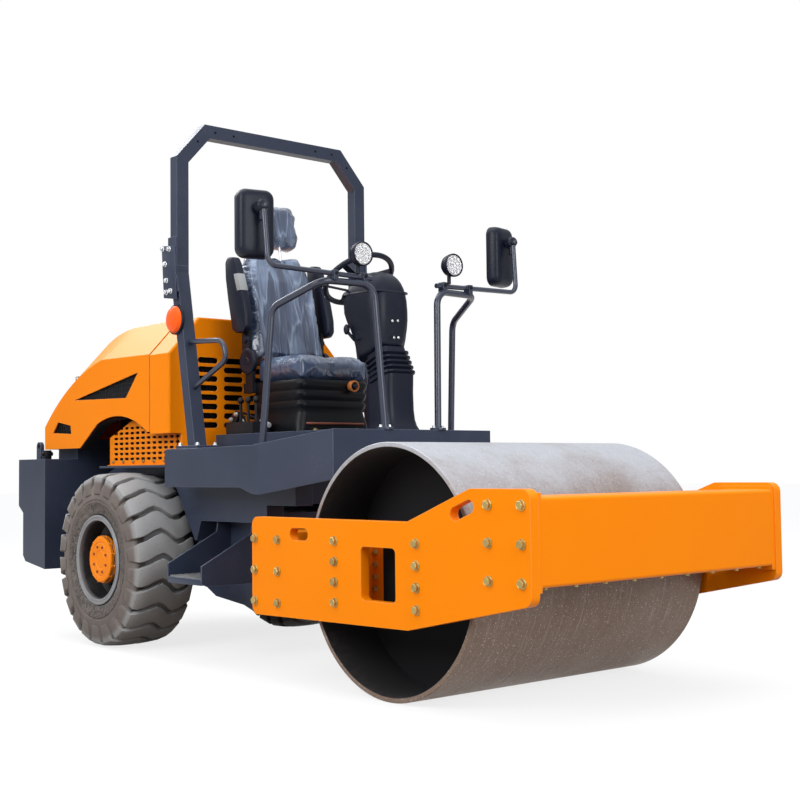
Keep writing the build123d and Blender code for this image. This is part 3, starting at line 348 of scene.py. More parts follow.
def hex_bolt(flats, height, washer, shank=0):
    """A washer, a chamfered hex head and, if asked, a bare thread end, standing on the XY plane."""
    wide, tall = flats / 1000, height / 1000
    straight, top_share = 0.85, 0.86  # height below the chamfer, size above it
    parts = [rod("washer", (0, 0, 0), (0, 0, 0.004), washer, edge=0.8)]
    deselect()
    bpy.ops.mesh.primitive_circle_add(
        vertices=6, radius=wide / 2 / cos(pi / 6), fill_type="NGON", location=(0, 0, 0.003))
    head = settle(bpy.context.object)
    edit(head)
    extrude((0, 0, tall * straight))
    extrude((0, 0, tall * (1 - straight)))
    bpy.ops.transform.resize(value=(top_share, top_share, 1), center_override=(0, 0, tall))
    bpy.ops.mesh.inset(thickness=wide * 0.05)
    bpy.ops.transform.translate(value=(0, 0, -tall * 0.06))
    parts.append(smooth(close(head), 20))
    if shank:
        parts.append(rod("thread", (0, 0, tall), (0, 0, tall + shank / 1000), flats * 0.28,
                         corners=16, edge=1))
    return join("bolt", parts)


def bolt_set(name, spots, facing, sizes):
    """Bolts at each spot, all facing one way, each turned a little differently."""
    turn = Vector(facing).to_track_quat("Z", "Y").to_matrix().to_4x4()
    return copies(hex_bolt(*sizes), name, [
        Matrix.Translation(spot) @ turn @ Matrix.Rotation(radians(37 * index), 4, "Z")
        for index, spot in enumerate(spots)])


# ---------------------------------------------------------------- shader groups

def new_group(name, inputs, outputs):
    """An empty shader group with float or colour inputs and outputs."""
    group = bpy.data.node_groups.new(name, "ShaderNodeTree")
    for label, default in inputs:
        kind = "NodeSocketColor" if isinstance(default, tuple) else "NodeSocketFloat"
        socket = group.interface.new_socket(label, in_out="INPUT", socket_type=kind)
        socket.default_value = default
    for label, kind in outputs:
        group.interface.new_socket(label, in_out="OUTPUT", socket_type="NodeSocket" + kind)
    GROUPS[name] = group
    inner, outer = group.nodes.new("NodeGroupInput"), group.nodes.new("NodeGroupOutput")
    return group, inner.outputs, outer.inputs


def feed(tree, socket, source):
    """Link a source into a socket, or set the socket to a value."""
    if isinstance(source, bpy.types.NodeSocket):
        tree.links.new(source, socket)
    else:
        socket.default_value = source


def node(tree, kind, *sources, **values):
    """Add a shader node, set its values and feed (socket, source) pairs into it."""
    made = tree.nodes.new("ShaderNode" + kind)
    for key, value in values.items():
        setattr(made, key, value)
    for socket, source in sources:
        feed(tree, made.inputs[socket], source)
    return made


def calc(tree, operation, *sources):
    return node(tree, "Math", *enumerate(sources), operation=operation).outputs[0]


def times(tree, first, second):
    return calc(tree, "MULTIPLY", first, second)


def object_place(tree):
    return node(tree, "TexCoord").outputs["Object"]


def axes(tree, vector):
    return node(tree, "SeparateXYZ", ("Vector", vector)).outputs


def noise_of(tree, vector, scale, detail=6.0, roughness=0.6):
    return node(tree, "TexNoise", ("Vector", vector), ("Scale", scale), ("Detail", detail),
                ("Roughness", roughness)).outputs["Fac"]


def mask_range(tree, source, low, high, to_low=0.0, to_high=1.0):
    return node(tree, "MapRange", ("Value", source), ("From Min", low), ("From Max", high),
                ("To Min", to_low), ("To Max", to_high)).outputs["Result"]


def blend(tree, factor, first, second):
    return node(tree, "Mix", (0, factor), (6, first), (7, second), data_type="RGBA").outputs[2]


def layered(tree, base, *layers):
    """Lay colours over a base, each through its mask."""
    for mask, colour in layers:
        base = blend(tree, mask, base, colour)
    return base


def dirt_group():
    """Dust in soft patches and a random swing of tone over a base colour."""
    tree, inner, outer = new_group(
        "Dust and tone",
        (("Colour", (0.8, 0.8, 0.8, 1)), ("Dust", (0.35, 0.3, 0.25, 1)), ("Amount", 0.3),
         ("Scale", 3.0), ("Tone", 0.08), ("Roughness", 0.4)),
        (("Colour", "Color"), ("Roughness", "Float")))
    place = object_place(tree)
    broad = noise_of(tree, place, inner["Scale"])
    fine = noise_of(tree, place, 90.0, 4.0, 0.5)
    mixed = times(tree, mask_range(tree, broad, 0.5, 0.75), mask_range(tree, fine, 0.45, 0.7))
    amount = times(tree, mixed, inner["Amount"])
    swing = times(tree, mask_range(tree, broad, 0.3, 0.7, -0.5, 0.5), inner["Tone"])
    toned = node(tree, "HueSaturation", ("Color", inner["Colour"]),
                 ("Value", calc(tree, "ADD", swing, 1.0))).outputs["Color"]
    feed(tree, outer["Colour"], blend(tree, amount, toned, inner["Dust"]))
    feed(tree, outer["Roughness"], calc(tree, "ADD", amount, inner["Roughness"]))


def edge_group():
    """Rounded plate edges: a soft normal and a mask that is 1 along each edge."""
    tree, inner, outer = new_group(
        "Soft edges", (("Radius", 0.004),), (("Mask", "Float"), ("Normal", "Vector")))
    bevel = node(tree, "Bevel", ("Radius", inner["Radius"]), samples=6).outputs[0]
    flat = node(tree, "NewGeometry").outputs["Normal"]
    facing = node(tree, "VectorMath", (0, bevel), (1, flat), operation="DOT_PRODUCT")
    feed(tree, outer["Mask"], mask_range(tree, facing.outputs["Value"], 0.995, 0.9))
    feed(tree, outer["Normal"], bevel)


def grain_group():
    """Fine surface relief for a Bump node."""
    tree, inner, outer = new_group(
        "Grain", (("Scale", 200.0), ("Coarse", 12.0), ("Mix", 0.3)), (("Height", "Float"),))
    place = object_place(tree)
    height = node(tree, "Mix", (0, inner["Mix"]),
                  (2, noise_of(tree, place, inner["Scale"], 3.0, 0.5)),
                  (3, noise_of(tree, place, inner["Coarse"], 2.0, 0.5)), data_type="FLOAT")
    feed(tree, outer["Height"], height.outputs[0])


# ---------------------------------------------------------------- finishes

def use_group(tree, name, **values):
    made = tree.nodes.new("ShaderNodeGroup")
    made.node_tree = GROUPS[name]
    for key, value in values.items():
        made.inputs[key].default_value = value
    return made.outputs


def new_finish(name, colour, roughness=0.4, metallic=0.0, coat=0.0, coat_roughness=0.1,
               specular=0.5):
    """A material with one Principled shader; returns its tree and the shader's inputs."""
    material = bpy.data.materials.new(name)
    material.use_nodes = True
    sockets = material.node_tree.nodes["Principled BSDF"].inputs
    for label, value in (
            ("Base Color", colour), ("Roughness", roughness), ("Metallic", metallic),
            ("Coat Weight", coat), ("Coat Roughness", coat_roughness),
            ("Specular IOR Level", specular)):
        sockets[label].default_value = value
    FINISHES[name] = material
    return material.node_tree, sockets


def relief(tree, sockets, height, strength, distance, edges=None):
    """Feed a height to the shader's Normal, over rounded edges when they are given."""
    bump = node(tree, "Bump", ("Height", height), ("Strength", strength), ("Distance", distance))
    if edges:
        feed(tree, bump.inputs["Normal"], edges["Normal"])
    feed(tree, sockets["Normal"], bump.outputs["Normal"])


def soft_edges(tree, radius):
    return use_group(tree, "Soft edges", Radius=radius)


def painted(name, colour, edge_colour, roughness=0.4, dust=0.2, dust_colour=(0.32, 0.27, 0.22, 1),
            tone=0.06, coat=0.1, specular=0.25, edge_highlight=0.55):
    """Machine enamel: faint orange peel, a painted highlight along its soft edges and a little
    dust.
    """
    tree, sockets = new_finish(name, colour, roughness, 0.0, coat, 0.15, specular)
    dirt = use_group(tree, "Dust and tone", Colour=colour, Dust=dust_colour, Amount=dust,
                     Scale=3.0, Tone=tone, Roughness=roughness)
    edges = soft_edges(tree, 0.004)
    # The edge colour is laid along each rounded edge as a painted highlight.
    line = times(tree, edges["Mask"], edge_highlight)
    feed(tree, sockets["Base Color"], blend(tree, line, dirt["Colour"], edge_colour))
    feed(tree, sockets["Roughness"], dirt["Roughness"])
    peel = use_group(tree, "Grain", Scale=260.0, Coarse=45.0, Mix=0.7)
    relief(tree, sockets, peel["Height"], 0.12, 0.0006, edges)


def plain(name, colour, roughness=0.5, metallic=0.0, grain=300.0, strength=0.15, tone=0.08,
          dust=0.1, dust_colour=(0.3, 0.27, 0.24, 1), specular=0.4):
    """A plastic, rubber or bare metal finish with grain and soft edges."""
    tree, sockets = new_finish(name, colour, roughness, metallic, specular=specular)
    dirt = use_group(tree, "Dust and tone", Colour=colour, Dust=dust_colour, Amount=dust,
                     Scale=7.0, Tone=tone, Roughness=roughness)
    feed(tree, sockets["Base Color"], dirt["Colour"])
    feed(tree, sockets["Roughness"], dirt["Roughness"])
    rough = use_group(tree, "Grain", Scale=grain, Coarse=grain / 8, Mix=0.4)
    relief(tree, sockets, rough["Height"], strength, 0.0005, soft_edges(tree, 0.002))


def from_axis(tree, centre):
    """Object coordinates from a centre, the distance from its cross-machine axis, the depth."""
    place = node(tree, "Mapping", ("Vector", object_place(tree)), ("Location", -Vector(centre)))
    place = place.outputs[0]
    flat = node(tree, "VectorMath", (0, place), (1, (1, 0, 1)), operation="MULTIPLY")
    radius = node(tree, "VectorMath", (0, flat.outputs[0]), operation="LENGTH")
    depth = calc(tree, "ABSOLUTE", axes(tree, place)["Y"])
    return place, radius.outputs["Value"], depth


def drum_finish(pale, stain, rust, inside):
    """Rolled steel: a pale upper sector painted as a sky reflection, brown stain below it, specks
    and turning scratches, and a near-black inner face painted as shade.
    """
    inner_radius = (0.5785, 0.5768)  # where the shell's outer steel gives way to its inner face
    tree, sockets = new_finish("drum_steel", pale, 0.5, 0.25)
    place, radius, depth = from_axis(tree, DRUM_AXIS)
    broad = noise_of(tree, place, 2.2, 8.0, 0.65)
    fine = noise_of(tree, place, 26.0, 8.0, 0.7)
    speck = noise_of(tree, place, 120.0, 4.0, 0.7)
    round_map = node(tree, "Mapping", ("Vector", place), ("Scale", (3.0, 60.0, 3.0)))
    streak = noise_of(tree, round_map.outputs[0], 1.6)
    # Above this height the steel is pale, a painted sky reflection; below it lies the brown stain.
    height = calc(tree, "ADD", axes(tree, place)["Z"], -0.06)
    level = calc(tree, "ADD", height, mask_range(tree, broad, 0.3, 0.7, -0.16, 0.16))
    lit_top_and_stain = mask_range(tree, level, 0.05, 0.5)
    rusty = times(tree, mask_range(tree, fine, 0.5, 0.72, 0, 0.75),
                  mask_range(tree, lit_top_and_stain, 0.0, 1.0, 1.0, 0.25))
    # The shell's inner face is coloured near-black as painted shade, browner towards the ends.
    within = mask_range(tree, radius, *inner_radius)
    soot = times(tree, mask_range(tree, depth, 0.66, 0.79, 0, 0.55),
                 mask_range(tree, fine, 0.35, 0.65))
    feed(tree, sockets["Base Color"], layered(
        tree, blend(tree, lit_top_and_stain, stain, pale),
        (rusty, rust),
        (mask_range(tree, speck, 0.6, 0.68, 0, 0.85), (0.72, 0.72, 0.74, 1)),
        (mask_range(tree, streak, 0.55, 0.72, 0, 0.35), (0.5, 0.48, 0.46, 1)),
        (within, blend(tree, soot, inside, (0.045, 0.034, 0.028, 1)))))
    feed(tree, sockets["Roughness"], blend(
        tree, within, mask_range(tree, broad, 0.3, 0.7, 0.42, 0.66), (0.95, 0.95, 0.95, 1)))
    feed(tree, sockets["Metallic"], times(tree, calc(tree, "SUBTRACT", 1.0, within), 0.3))
    relief(tree, sockets, fine, 0.3, 0.0018, soft_edges(tree, 0.005))


def tyre_finish(pale, deep):
    """Dusty rubber: pale bar tops and walls, dark grooves and a rough scuffed band round the rim.
    """
    tree, sockets = new_finish("tyre", pale, 0.85, specular=0.25)
    place, radius, depth = from_axis(tree, AXLE)
    broad = noise_of(tree, place, 5.0)
    fine = noise_of(tree, place, 60.0, 6.0, 0.7)
    wall = mask_range(tree, depth, 0.835, 0.86)
    tops = calc(tree, "MAXIMUM", mask_range(tree, radius, 0.494, 0.507), wall)
    feed(tree, sockets["Base Color"], layered(
        tree, blend(tree, tops, deep, pale),
        (times(tree, wall, mask_range(tree, radius, 0.5, 0.47)), (0.15, 0.128, 0.118, 1)),
        (times(tree, mask_range(tree, radius, 0.37, 0.35), mask_range(tree, fine, 0.4, 0.62)),
         (0.045, 0.04, 0.038, 1)),
        (mask_range(tree, broad, 0.45, 0.72, 0, 0.4), (0.3, 0.265, 0.24, 1)),
        (mask_range(tree, fine, 0.56, 0.75, 0, 0.35), (0.06, 0.055, 0.05, 1))))
    feed(tree, sockets["Roughness"], mask_range(tree, broad, 0.3, 0.7, 0.75, 0.95))
    relief(tree, sockets, fine, 0.5, 0.0015, soft_edges(tree, 0.003))


def rim_finish(silver):
    """Silver enamel, bright on the stepped ring and darkened with painted shade towards the dish.
    """
    tree, sockets = new_finish("rim", silver, 0.36, 0.55)
    place, _, depth = from_axis(tree, AXLE)
    broad = noise_of(tree, place, 9.0)
    fine = noise_of(tree, place, 55.0, 6.0, 0.7)
    # Near-black painted shade deepening towards the dish, broken up by noise.
    grime_and_shade = times(tree, mask_range(tree, depth, 0.862, 0.825),
                  mask_range(tree, broad, 0.2, 0.6, 0.75, 1.0))
    feed(tree, sockets["Base Color"], layered(
        tree, silver,
        (mask_range(tree, broad, 0.35, 0.7, 0, 0.35), (0.24, 0.22, 0.21, 1)),
        (grime_and_shade, (0.018, 0.017, 0.018, 1)),
        (mask_range(tree, fine, 0.58, 0.75, 0, 0.5), (0.16, 0.12, 0.09, 1))))
    feed(tree, sockets["Roughness"], mask_range(tree, broad, 0.3, 0.7, 0.35, 0.6))
    relief(tree, sockets, fine, 0.15, 0.0008, soft_edges(tree, 0.003))


def lamp_finishes(amber):
    """Marker lens, clear lens, mirror glass and the lamps' bright bowls."""
    tree, sockets = new_finish("amber", amber, 0.3, coat=0.1, specular=0.2)
    rings = node(tree, "TexWave", ("Vector", object_place(tree)), ("Scale", 60.0),
                 wave_type="BANDS", bands_direction="Z")
    relief(tree, sockets, rings.outputs["Fac"], 0.4, 0.001)
    sockets["Emission Color"].default_value = amber
    sockets["Emission Strength"].default_value = 0.2
    tree, sockets = new_finish("lens", (0.95, 0.96, 0.98, 1), 0.05)
    sockets["Transmission Weight"].default_value = 0.9
    sockets["IOR"].default_value = 1.2
    grain = use_group(tree, "Grain", Scale=90.0, Coarse=30.0, Mix=0.5)
    relief(tree, sockets, grain["Height"], 0.05, 0.001)
    tree, sockets = new_finish("mirror_glass", (0.86, 0.88, 0.9, 1), 0.03, 1.0)
    grain = use_group(tree, "Grain", Scale=20.0, Coarse=6.0, Mix=0.5)
    relief(tree, sockets, grain["Height"], 0.02, 0.0005)
    plain("reflector", (0.8, 0.8, 0.8, 1), 0.2, 0.6, grain=400, strength=0.05, tone=0.1)


def seat_finish(vinyl):
    """Vinyl under loose clear film: long sharp creases with a painted highlight along them, and
    painted sheen and painted shade on the folds.
    """
    tree, sockets = new_finish("seat_wrap", vinyl, 0.32, coat=0.8, coat_roughness=0.14)
    place = object_place(tree)
    long_map = node(tree, "Mapping", ("Vector", place), ("Scale", (2.6, 5.2, 0.8))).outputs[0]
    bend = node(tree, "TexNoise", ("Vector", long_map), ("Scale", 1.3), ("Detail", 2.0))
    shifted = node(tree, "VectorMath", (0, bend.outputs["Color"]), (1, (0.9, 0.9, 0.9)),
                   (2, long_map), operation="MULTIPLY_ADD").outputs[0]
    crease = node(tree, "TexVoronoi", ("Vector", shifted), ("Scale", 2.7),
                  feature="DISTANCE_TO_EDGE").outputs["Distance"]
    fold = noise_of(tree, shifted, 1.9, 4.0, 0.55)
    loose = mask_range(tree, axes(tree, place)["Z"], 1.69, 1.73, 0.12, 1.0)
    # line is a painted highlight along the creases; the two fold layers below are a lighter painted
    # sheen and a darker painted shade.
    line = times(tree, mask_range(tree, crease, 0.0, 0.07, 0.55, 0.0),
                 times(tree, loose, mask_range(tree, fold, 0.42, 0.56)))
    feed(tree, sockets["Base Color"], layered(
        tree, vinyl,
        (line, (0.42, 0.52, 0.68, 1)),
        (times(tree, mask_range(tree, fold, 0.5, 0.66, 0.0, 0.75), loose), (0.22, 0.29, 0.43, 1)),
        (times(tree, mask_range(tree, fold, 0.48, 0.36, 0.0, 0.7), loose),
         (0.025, 0.034, 0.065, 1))))
    ridge = mask_range(tree, crease, 0.0, 0.16, 1.0, 0.0)
    relief(tree, sockets, times(tree, ridge, loose), 0.6, 0.008)


def dress_frame():
    """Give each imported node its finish, by words in its name."""
    table = (
        ("orange", ("side_plate", "drum_bracket", "crossbeam", "hood", "bulkhead", "side_grille")),
        ("slate_tube", ("handrail", "mirror_arm")),
        ("drum_steel", ("drum",)),
        ("rim", ("wheel_rim",)),
        ("tyre", ("tyre",)),
        ("bright_steel", ("cylinder_rod",)),
        ("black_paint", ("seat_base", "drum_bearing", "engine_block", "scraper",
                         "control_levers")),
        ("black_plastic", ("console", "mirror", "armrest", "steering_wheel", "steering_column",
                           "work_lamp")),
        ("seat_wrap", ("seat_cushion", "seat_back", "headrest")),
    )
    for name, piece in NODES.items():
        bare = name.removeprefix("right_").removeprefix("left_")
        finish = "slate"
        for candidate, words in table:
            if bare in words or any(bare.endswith(word) for word in words if len(word) > 5):
                finish = candidate
                break
        for slot in piece.material_slots:
            slot.material = FINISHES[finish]


# ---------------------------------------------------------------- sizes and colours

def colour_prop(name, text, value):
    return bpy.props.FloatVectorProperty(
        name=name, description=text, subtype="COLOR", size=4, min=0, max=1, default=(*value, 1))


def length_prop(name, text, value):
    return bpy.props.FloatProperty(name=name, description=text, unit="LENGTH", default=value,
                                   min=0)


class RollerColours(bpy.types.PropertyGroup):
    """Linear colours of the roller's finishes."""
    orange: colour_prop("Orange", "Enamel of the drum frame and the hood", (0.93, 0.245, 0.0))
    # Painted highlight laid along the orange edges.
    orange_edge: colour_prop("Orange edge", "Thin bright line along orange edges",
                             (1.0, 0.5, 0.18))
    slate: colour_prop("Slate", "Enamel of the rear frame and the platform",
                       (0.027, 0.036, 0.066))
    # Painted highlight laid along the slate edges.
    slate_edge: colour_prop("Slate edge", "Thin pale line along slate edges", (0.2, 0.24, 0.33))
    # Pale steel, shown only on the drum's upper sector, where it is a painted sky reflection.
    drum: colour_prop("Drum steel", "Worn rolled steel", (0.42, 0.43, 0.465))
    drum_stain: colour_prop("Drum stain", "Brown stain on the steel", (0.2, 0.137, 0.1))
    drum_rust: colour_prop("Drum rust", "Rust specks on the steel", (0.16, 0.09, 0.055))
    rim: colour_prop("Rim", "Silver enamel of the wheels", (0.31, 0.315, 0.33))
    zinc: colour_prop("Zinc", "Yellow zinc of the large bolts", (0.44, 0.33, 0.12))
    tyre: colour_prop("Tyre", "Dusty rubber", (0.3, 0.305, 0.31))
    tyre_deep: colour_prop("Tyre grooves", "Rubber between the bars", (0.026, 0.021, 0.018))
    plastic: colour_prop("Plastic", "Black moulded plastic", (0.006, 0.0088, 0.02))
    seat: colour_prop("Seat", "Seat vinyl under its clear wrap", (0.045, 0.068, 0.13))
    amber: colour_prop("Amber", "Marker lamp lens", (0.9, 0.1, 0.004))
    floor: colour_prop("Floor", "Floor of the stage", (0.9, 0.9, 0.9))


class RollerSizes(bpy.types.PropertyGroup):
    """Sizes of the fittings that dress the frame."""
    bolt_flats: length_prop("Bolt flats", "Across flats of the plate bolts", 0.034)
    bolt_height: length_prop("Bolt height", "Height of a plate bolt's head", 0.017)
    washer_radius: length_prop("Washer radius", "Radius of the plate bolts' washers", 0.023)
    lug_count: bpy.props.IntProperty(
        name="Lugs", description="Tread bars round each tyre", default=22, min=8)
    lug_width: length_prop("Lug width", "Width of a tread bar along the tyre's turn", 0.117)
    lug_depth: length_prop("Lug depth", "Depth of the grooves", 0.036)
    lens: length_prop("Lens", "Camera's focal length on a 36 mm film", 0.05851)


# ---------------------------------------------------------------- finishes, bolts and wheels

class ROLLER_OT_finishes(bpy.types.Operator):
    """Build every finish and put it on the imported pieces"""
    bl_idname = "roller.finishes"
    bl_label = "Finishes"

    def execute(self, context):
        tints = context.scene.roller_colours
        dirt_group()
        edge_group()
        grain_group()
        grime_and_shade = (0.12, 0.11, 0.12, 1)
        painted("orange", tints.orange, tints.orange_edge, dust=0.04, tone=0.03, edge_highlight=0.5,
                specular=0.1, coat=0.0)
        painted("slate", tints.slate, tints.slate_edge, roughness=0.46, dust=0.25,
                dust_colour=grime_and_shade, tone=0.22, specular=0.3, edge_highlight=0.6)
        # The tubes' colour is the slate darkened to 0.9, a painted shade; the extra coat and
        # specular make them glossier.
        painted("slate_tube", [0.9 * value for value in tints.slate[:3]] + [1],
                tints.slate_edge, roughness=0.3, dust=0.15, dust_colour=grime_and_shade, tone=0.15,
                coat=0.35, specular=0.45, edge_highlight=0.3)
        plain("zinc", tints.zinc, 0.35, 0.85, grain=120, strength=0.3, tone=0.5)
        plain("copper", (0.62, 0.2, 0.05, 1), 0.35, 0.3, grain=120, strength=0.2, tone=0.3)
        plain("bright_steel", (0.78, 0.8, 0.82, 1), 0.3, 0.85, grain=160, tone=0.3)
        plain("black_plastic", tints.plastic, 0.4, grain=650, strength=0.25, dust=0.03,
              tone=0.2, specular=0.24)
        plain("black_paint", (0.0055, 0.006, 0.009, 1), 0.42, grain=200, strength=0.1,
              specular=0.25, dust=0.05)
        plain("rubber", (0.0035, 0.004, 0.006, 1), 0.42, grain=400, strength=0.3, dust=0.02,
              specular=0.2)
        plain("dark_inside", (0.005, 0.005, 0.006, 1), 0.85, grain=60, strength=0.1, tone=0.3,
              dust=0.0, specular=0.1)
        plain("galvanised", (0.22, 0.22, 0.225, 1), 0.6, 0.3, grain=90, strength=0.4, tone=0.5,
              dust=0.5, dust_colour=(0.2, 0.18, 0.17, 1))
        plain("grip_grey", (0.3, 0.31, 0.32, 1), 0.5, grain=500, strength=0.2)
        plain("rusty_bar", (0.2, 0.055, 0.03, 1), 0.6, grain=120, strength=0.4, tone=0.4,
              dust=0.3)
        # The near-black inside colour is painted shade on the drum shell's inner face.
        drum_finish(tints.drum, tints.drum_stain, tints.drum_rust, (0.004, 0.0042, 0.006, 1))
        tyre_finish(tints.tyre, tints.tyre_deep)
        rim_finish(tints.rim)
        lamp_finishes(tints.amber)
        seat_finish(tints.seat)
        dress_frame()
        return {"FINISHED"}


class ROLLER_OT_plate_bolts(bpy.types.Operator):
    """Hex bolts and washers of the drum frame"""
    bl_idname = "roller.plate_bolts"
    bl_label = "Plate bolts"

    def execute(self, context):
        sizes = context.scene.roller_sizes
        columns = ((-947, (726, 568, 410)), (-747, (726, 568, 410)),
                   (-282, (444.5, 541.5, 638.5, 735.5)), (305, (452.5, 549.5, 646.5, 743.5)),
                   (761, (921, 763, 605)), (954, (921, 763, 605)))
        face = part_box("right_side_plate")[0][1] * 1000
        bolts = bolt_set(
            "plate_bolts", [at(x, face, z) for x, heights in columns for z in heights], OUT,
            [1000 * size for size in (sizes.bolt_flats, sizes.bolt_height, sizes.washer_radius)])
        fit_pair(bolts, "zinc", body="front_frame")
        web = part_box("right_drum_bracket")[0][1] * 1000 + 117
        inner = bolt_set("bracket_bolts", [at(-178, web, z) for z in (505, 562, 620, 678)], OUT,
                         (20, 12, 14))
        fit_pair(inner, "zinc", body="front_frame")
        # A near-black sheet over the bracket web behind the window: painted shade.
        shade_sheet = block("bracket_shade_sheet", at(-118, web - 4, 400), at(210, web - 0.5, 790), 1)
        fit_pair(shade_sheet, "dark_inside", body="front_frame")
        low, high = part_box("front_crossbeam")
        under = bolt_set("scraper_bolts", [
            Vector((high[0] - 0.06, low[1] + 0.1 + 0.19 * i, low[2] + 0.018))
            for i in range(9)], (0, 0, -1), (18, 10, 13))
        fit_out(under, "zinc", body="front_frame")
        return {"FINISHED"}


class ROLLER_OT_tyres(bpy.types.Operator):
    """Tyres with full-width waved tread bars"""
    bl_idname = "roller.tyres"
    bl_label = "Tyres"

    def execute(self, context):
        sizes = context.scene.roller_sizes
        low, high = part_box("right_tyre")
        centre = middle_of("right_tyre")
        radius, half = (high[2] - low[2]) * 500, (high[1] - low[1]) * 500
        floor = radius - sizes.lug_depth * 1000
        bead = radius * 0.517
        wall = ((36, bead), (20, bead + 4), (12, bead + 16), (10, bead + 38), (4, bead + 60),
                (0.5, bead + 78), (4.5, bead + 82), (4.5, bead + 92), (1, bead + 96),
                (3, radius - 115), (14, radius - 85), (34, floor - 12), (75, floor))
        outline = [(step - half, reach) for step, reach in wall] + [(0, floor + 6)]
        outline += [(half - step, reach) for step, reach in reversed(wall)]
        carcass = lathe("carcass", outline + outline[:1], centre, (0, 1, 0), 96)
        turns = [Matrix.Translation(centre) @ Matrix.Rotation(2 * pi * i / sizes.lug_count, 4, "Y")
                 @ Matrix.Translation(-centre) for i in range(sizes.lug_count)]
        bars = copies(tread_bar(sizes, centre, radius, half), "bars", turns)
        tyre = smooth(join("tyre_tread", [carcass, bars]), 34)
        for piece, side in fit_pair(tyre, "tyre", "{side}_wheel"):
            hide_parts(side + "_tyre")
        return {"FINISHED"}


def tread_bar(sizes, centre, radius, half):
    """One bar, cut into stations across the tyre and wrapped round it."""
    # share of the half width, then drop of the top, depth of the foot and wave, then width share
    stations = (
        (-1.0, 118, 135, 20, 0.80), (-0.995, 60, 125, 18, 0.90), (-0.93, 22, 105, 15, 1.0),
        (-0.82, 10, 75, 10, 1.03), (-0.62, 5, 50, -2, 1.0), (-0.38, 1, 45, -26, 0.98),
        (-0.16, 0, 45, -40, 1.0), (0.02, 0, 45, -22, 1.0), (0.20, 0, 45, 14, 0.98),
        (0.36, 1, 45, 34, 1.0), (0.56, 4, 50, 22, 1.0), (0.82, 10, 75, -8, 1.03),
        (0.93, 22, 105, -15, 1.0), (0.995, 60, 125, -20, 0.90), (1.0, 118, 135, -22, 0.80))
    foot_share = 1.2  # a bar is wider at its foot
    last = len(stations) - 1
    deselect()
    bpy.ops.mesh.primitive_cube_add(size=1, location=(0, 0, 0))
    piece = bpy.context.object
    edit(piece)
    for station in range(1, last):
        cut((0, -0.5 + station / last, 0), (0, 1, 0))
    bpy.ops.object.mode_set(mode="OBJECT")
    for vertex in piece.data.vertices:
        share, drop, foot, wave, wide = stations[round((vertex.co.y + 0.5) * last)]
        top = vertex.co.z > 0
        reach = radius - (drop if top else foot)
        width = sizes.lug_width * 1000 * wide * (1.0 if top else foot_share) * reach / radius
        angle = (wave + (0.5 if vertex.co.x > 0 else -0.5) * width) / radius
        vertex.co = centre + Vector((sin(angle) * reach, share * half, cos(angle) * reach)) / 1000
    edit(piece)
    return round_edges(close(piece), 3, 2, 38)


class ROLLER_OT_wheels(bpy.types.Operator):
    """Planetary hubs, wheel nuts and the stepped lock rings of the rims"""
    bl_idname = "roller.wheels"
    bl_label = "Hubs and rims"

    def execute(self, context):
        centre = middle_of("right_wheel_rim")
        face, dish, lip = (Vector((centre.x, y, centre.z)) for y in (
            -0.833, -0.7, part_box("right_wheel_rim")[0][1]))
        hub = lathe("hub", (
            (-1, 0), (3, 0), (3, 52), (0.5, 55), (0.5, 58), (4, 61), (4, 98), (1, 101), (1, 104),
            (5, 108), (5, 134), (0, 140.5), (-60, 140.5), (-60, 0)), face, OUT, 72)
        flange = lathe("flange", ((-22, 142), (-22, 146.5), (-36, 146.5), (-40, 142), (-22, 142)),
                       face, OUT, 72)
        rim_bolts = bolt_set("rim_bolts", bolt_circle(face, 12, 139.5, -22), OUT, (14, 20, 9.5))
        caps = bolt_set("cap_bolts", bolt_circle(face, 8, 81, 3), OUT, (13, 5, 8.5))
        fit_pair(caps, "rusty_bar", body="{side}_wheel")
        fit_pair(join("hub", [hub, flange, rim_bolts]), "orange", "{side}_wheel")
        nuts = bolt_set("wheel_nuts", bolt_circle(dish, 10, 172, 0), OUT, (30, 22, 20, 20))
        fit_pair(nuts, "rim", "{side}_wheel")
        rings = lathe("lock_rings", (
            (-4, 243), (2, 245), (2.5, 252), (-1, 254), (-1, 259), (3, 261), (3.5, 271),
            (1, 274.5), (-12, 275), (-12, 262), (-4, 243)), lip, OUT, 96)
        fit_pair(rings, "rim", "{side}_wheel")
        return {"FINISHED"}


def bolt_circle(middle, count, radius, out):
    turns = [2 * pi * (i + 0.5) / count for i in range(count)]
    return [middle + Vector((radius * sin(turn), -out, radius * cos(turn))) / 1000
            for turn in turns]


# ---------------------------------------------------------------- hood, roll-over frame, rails

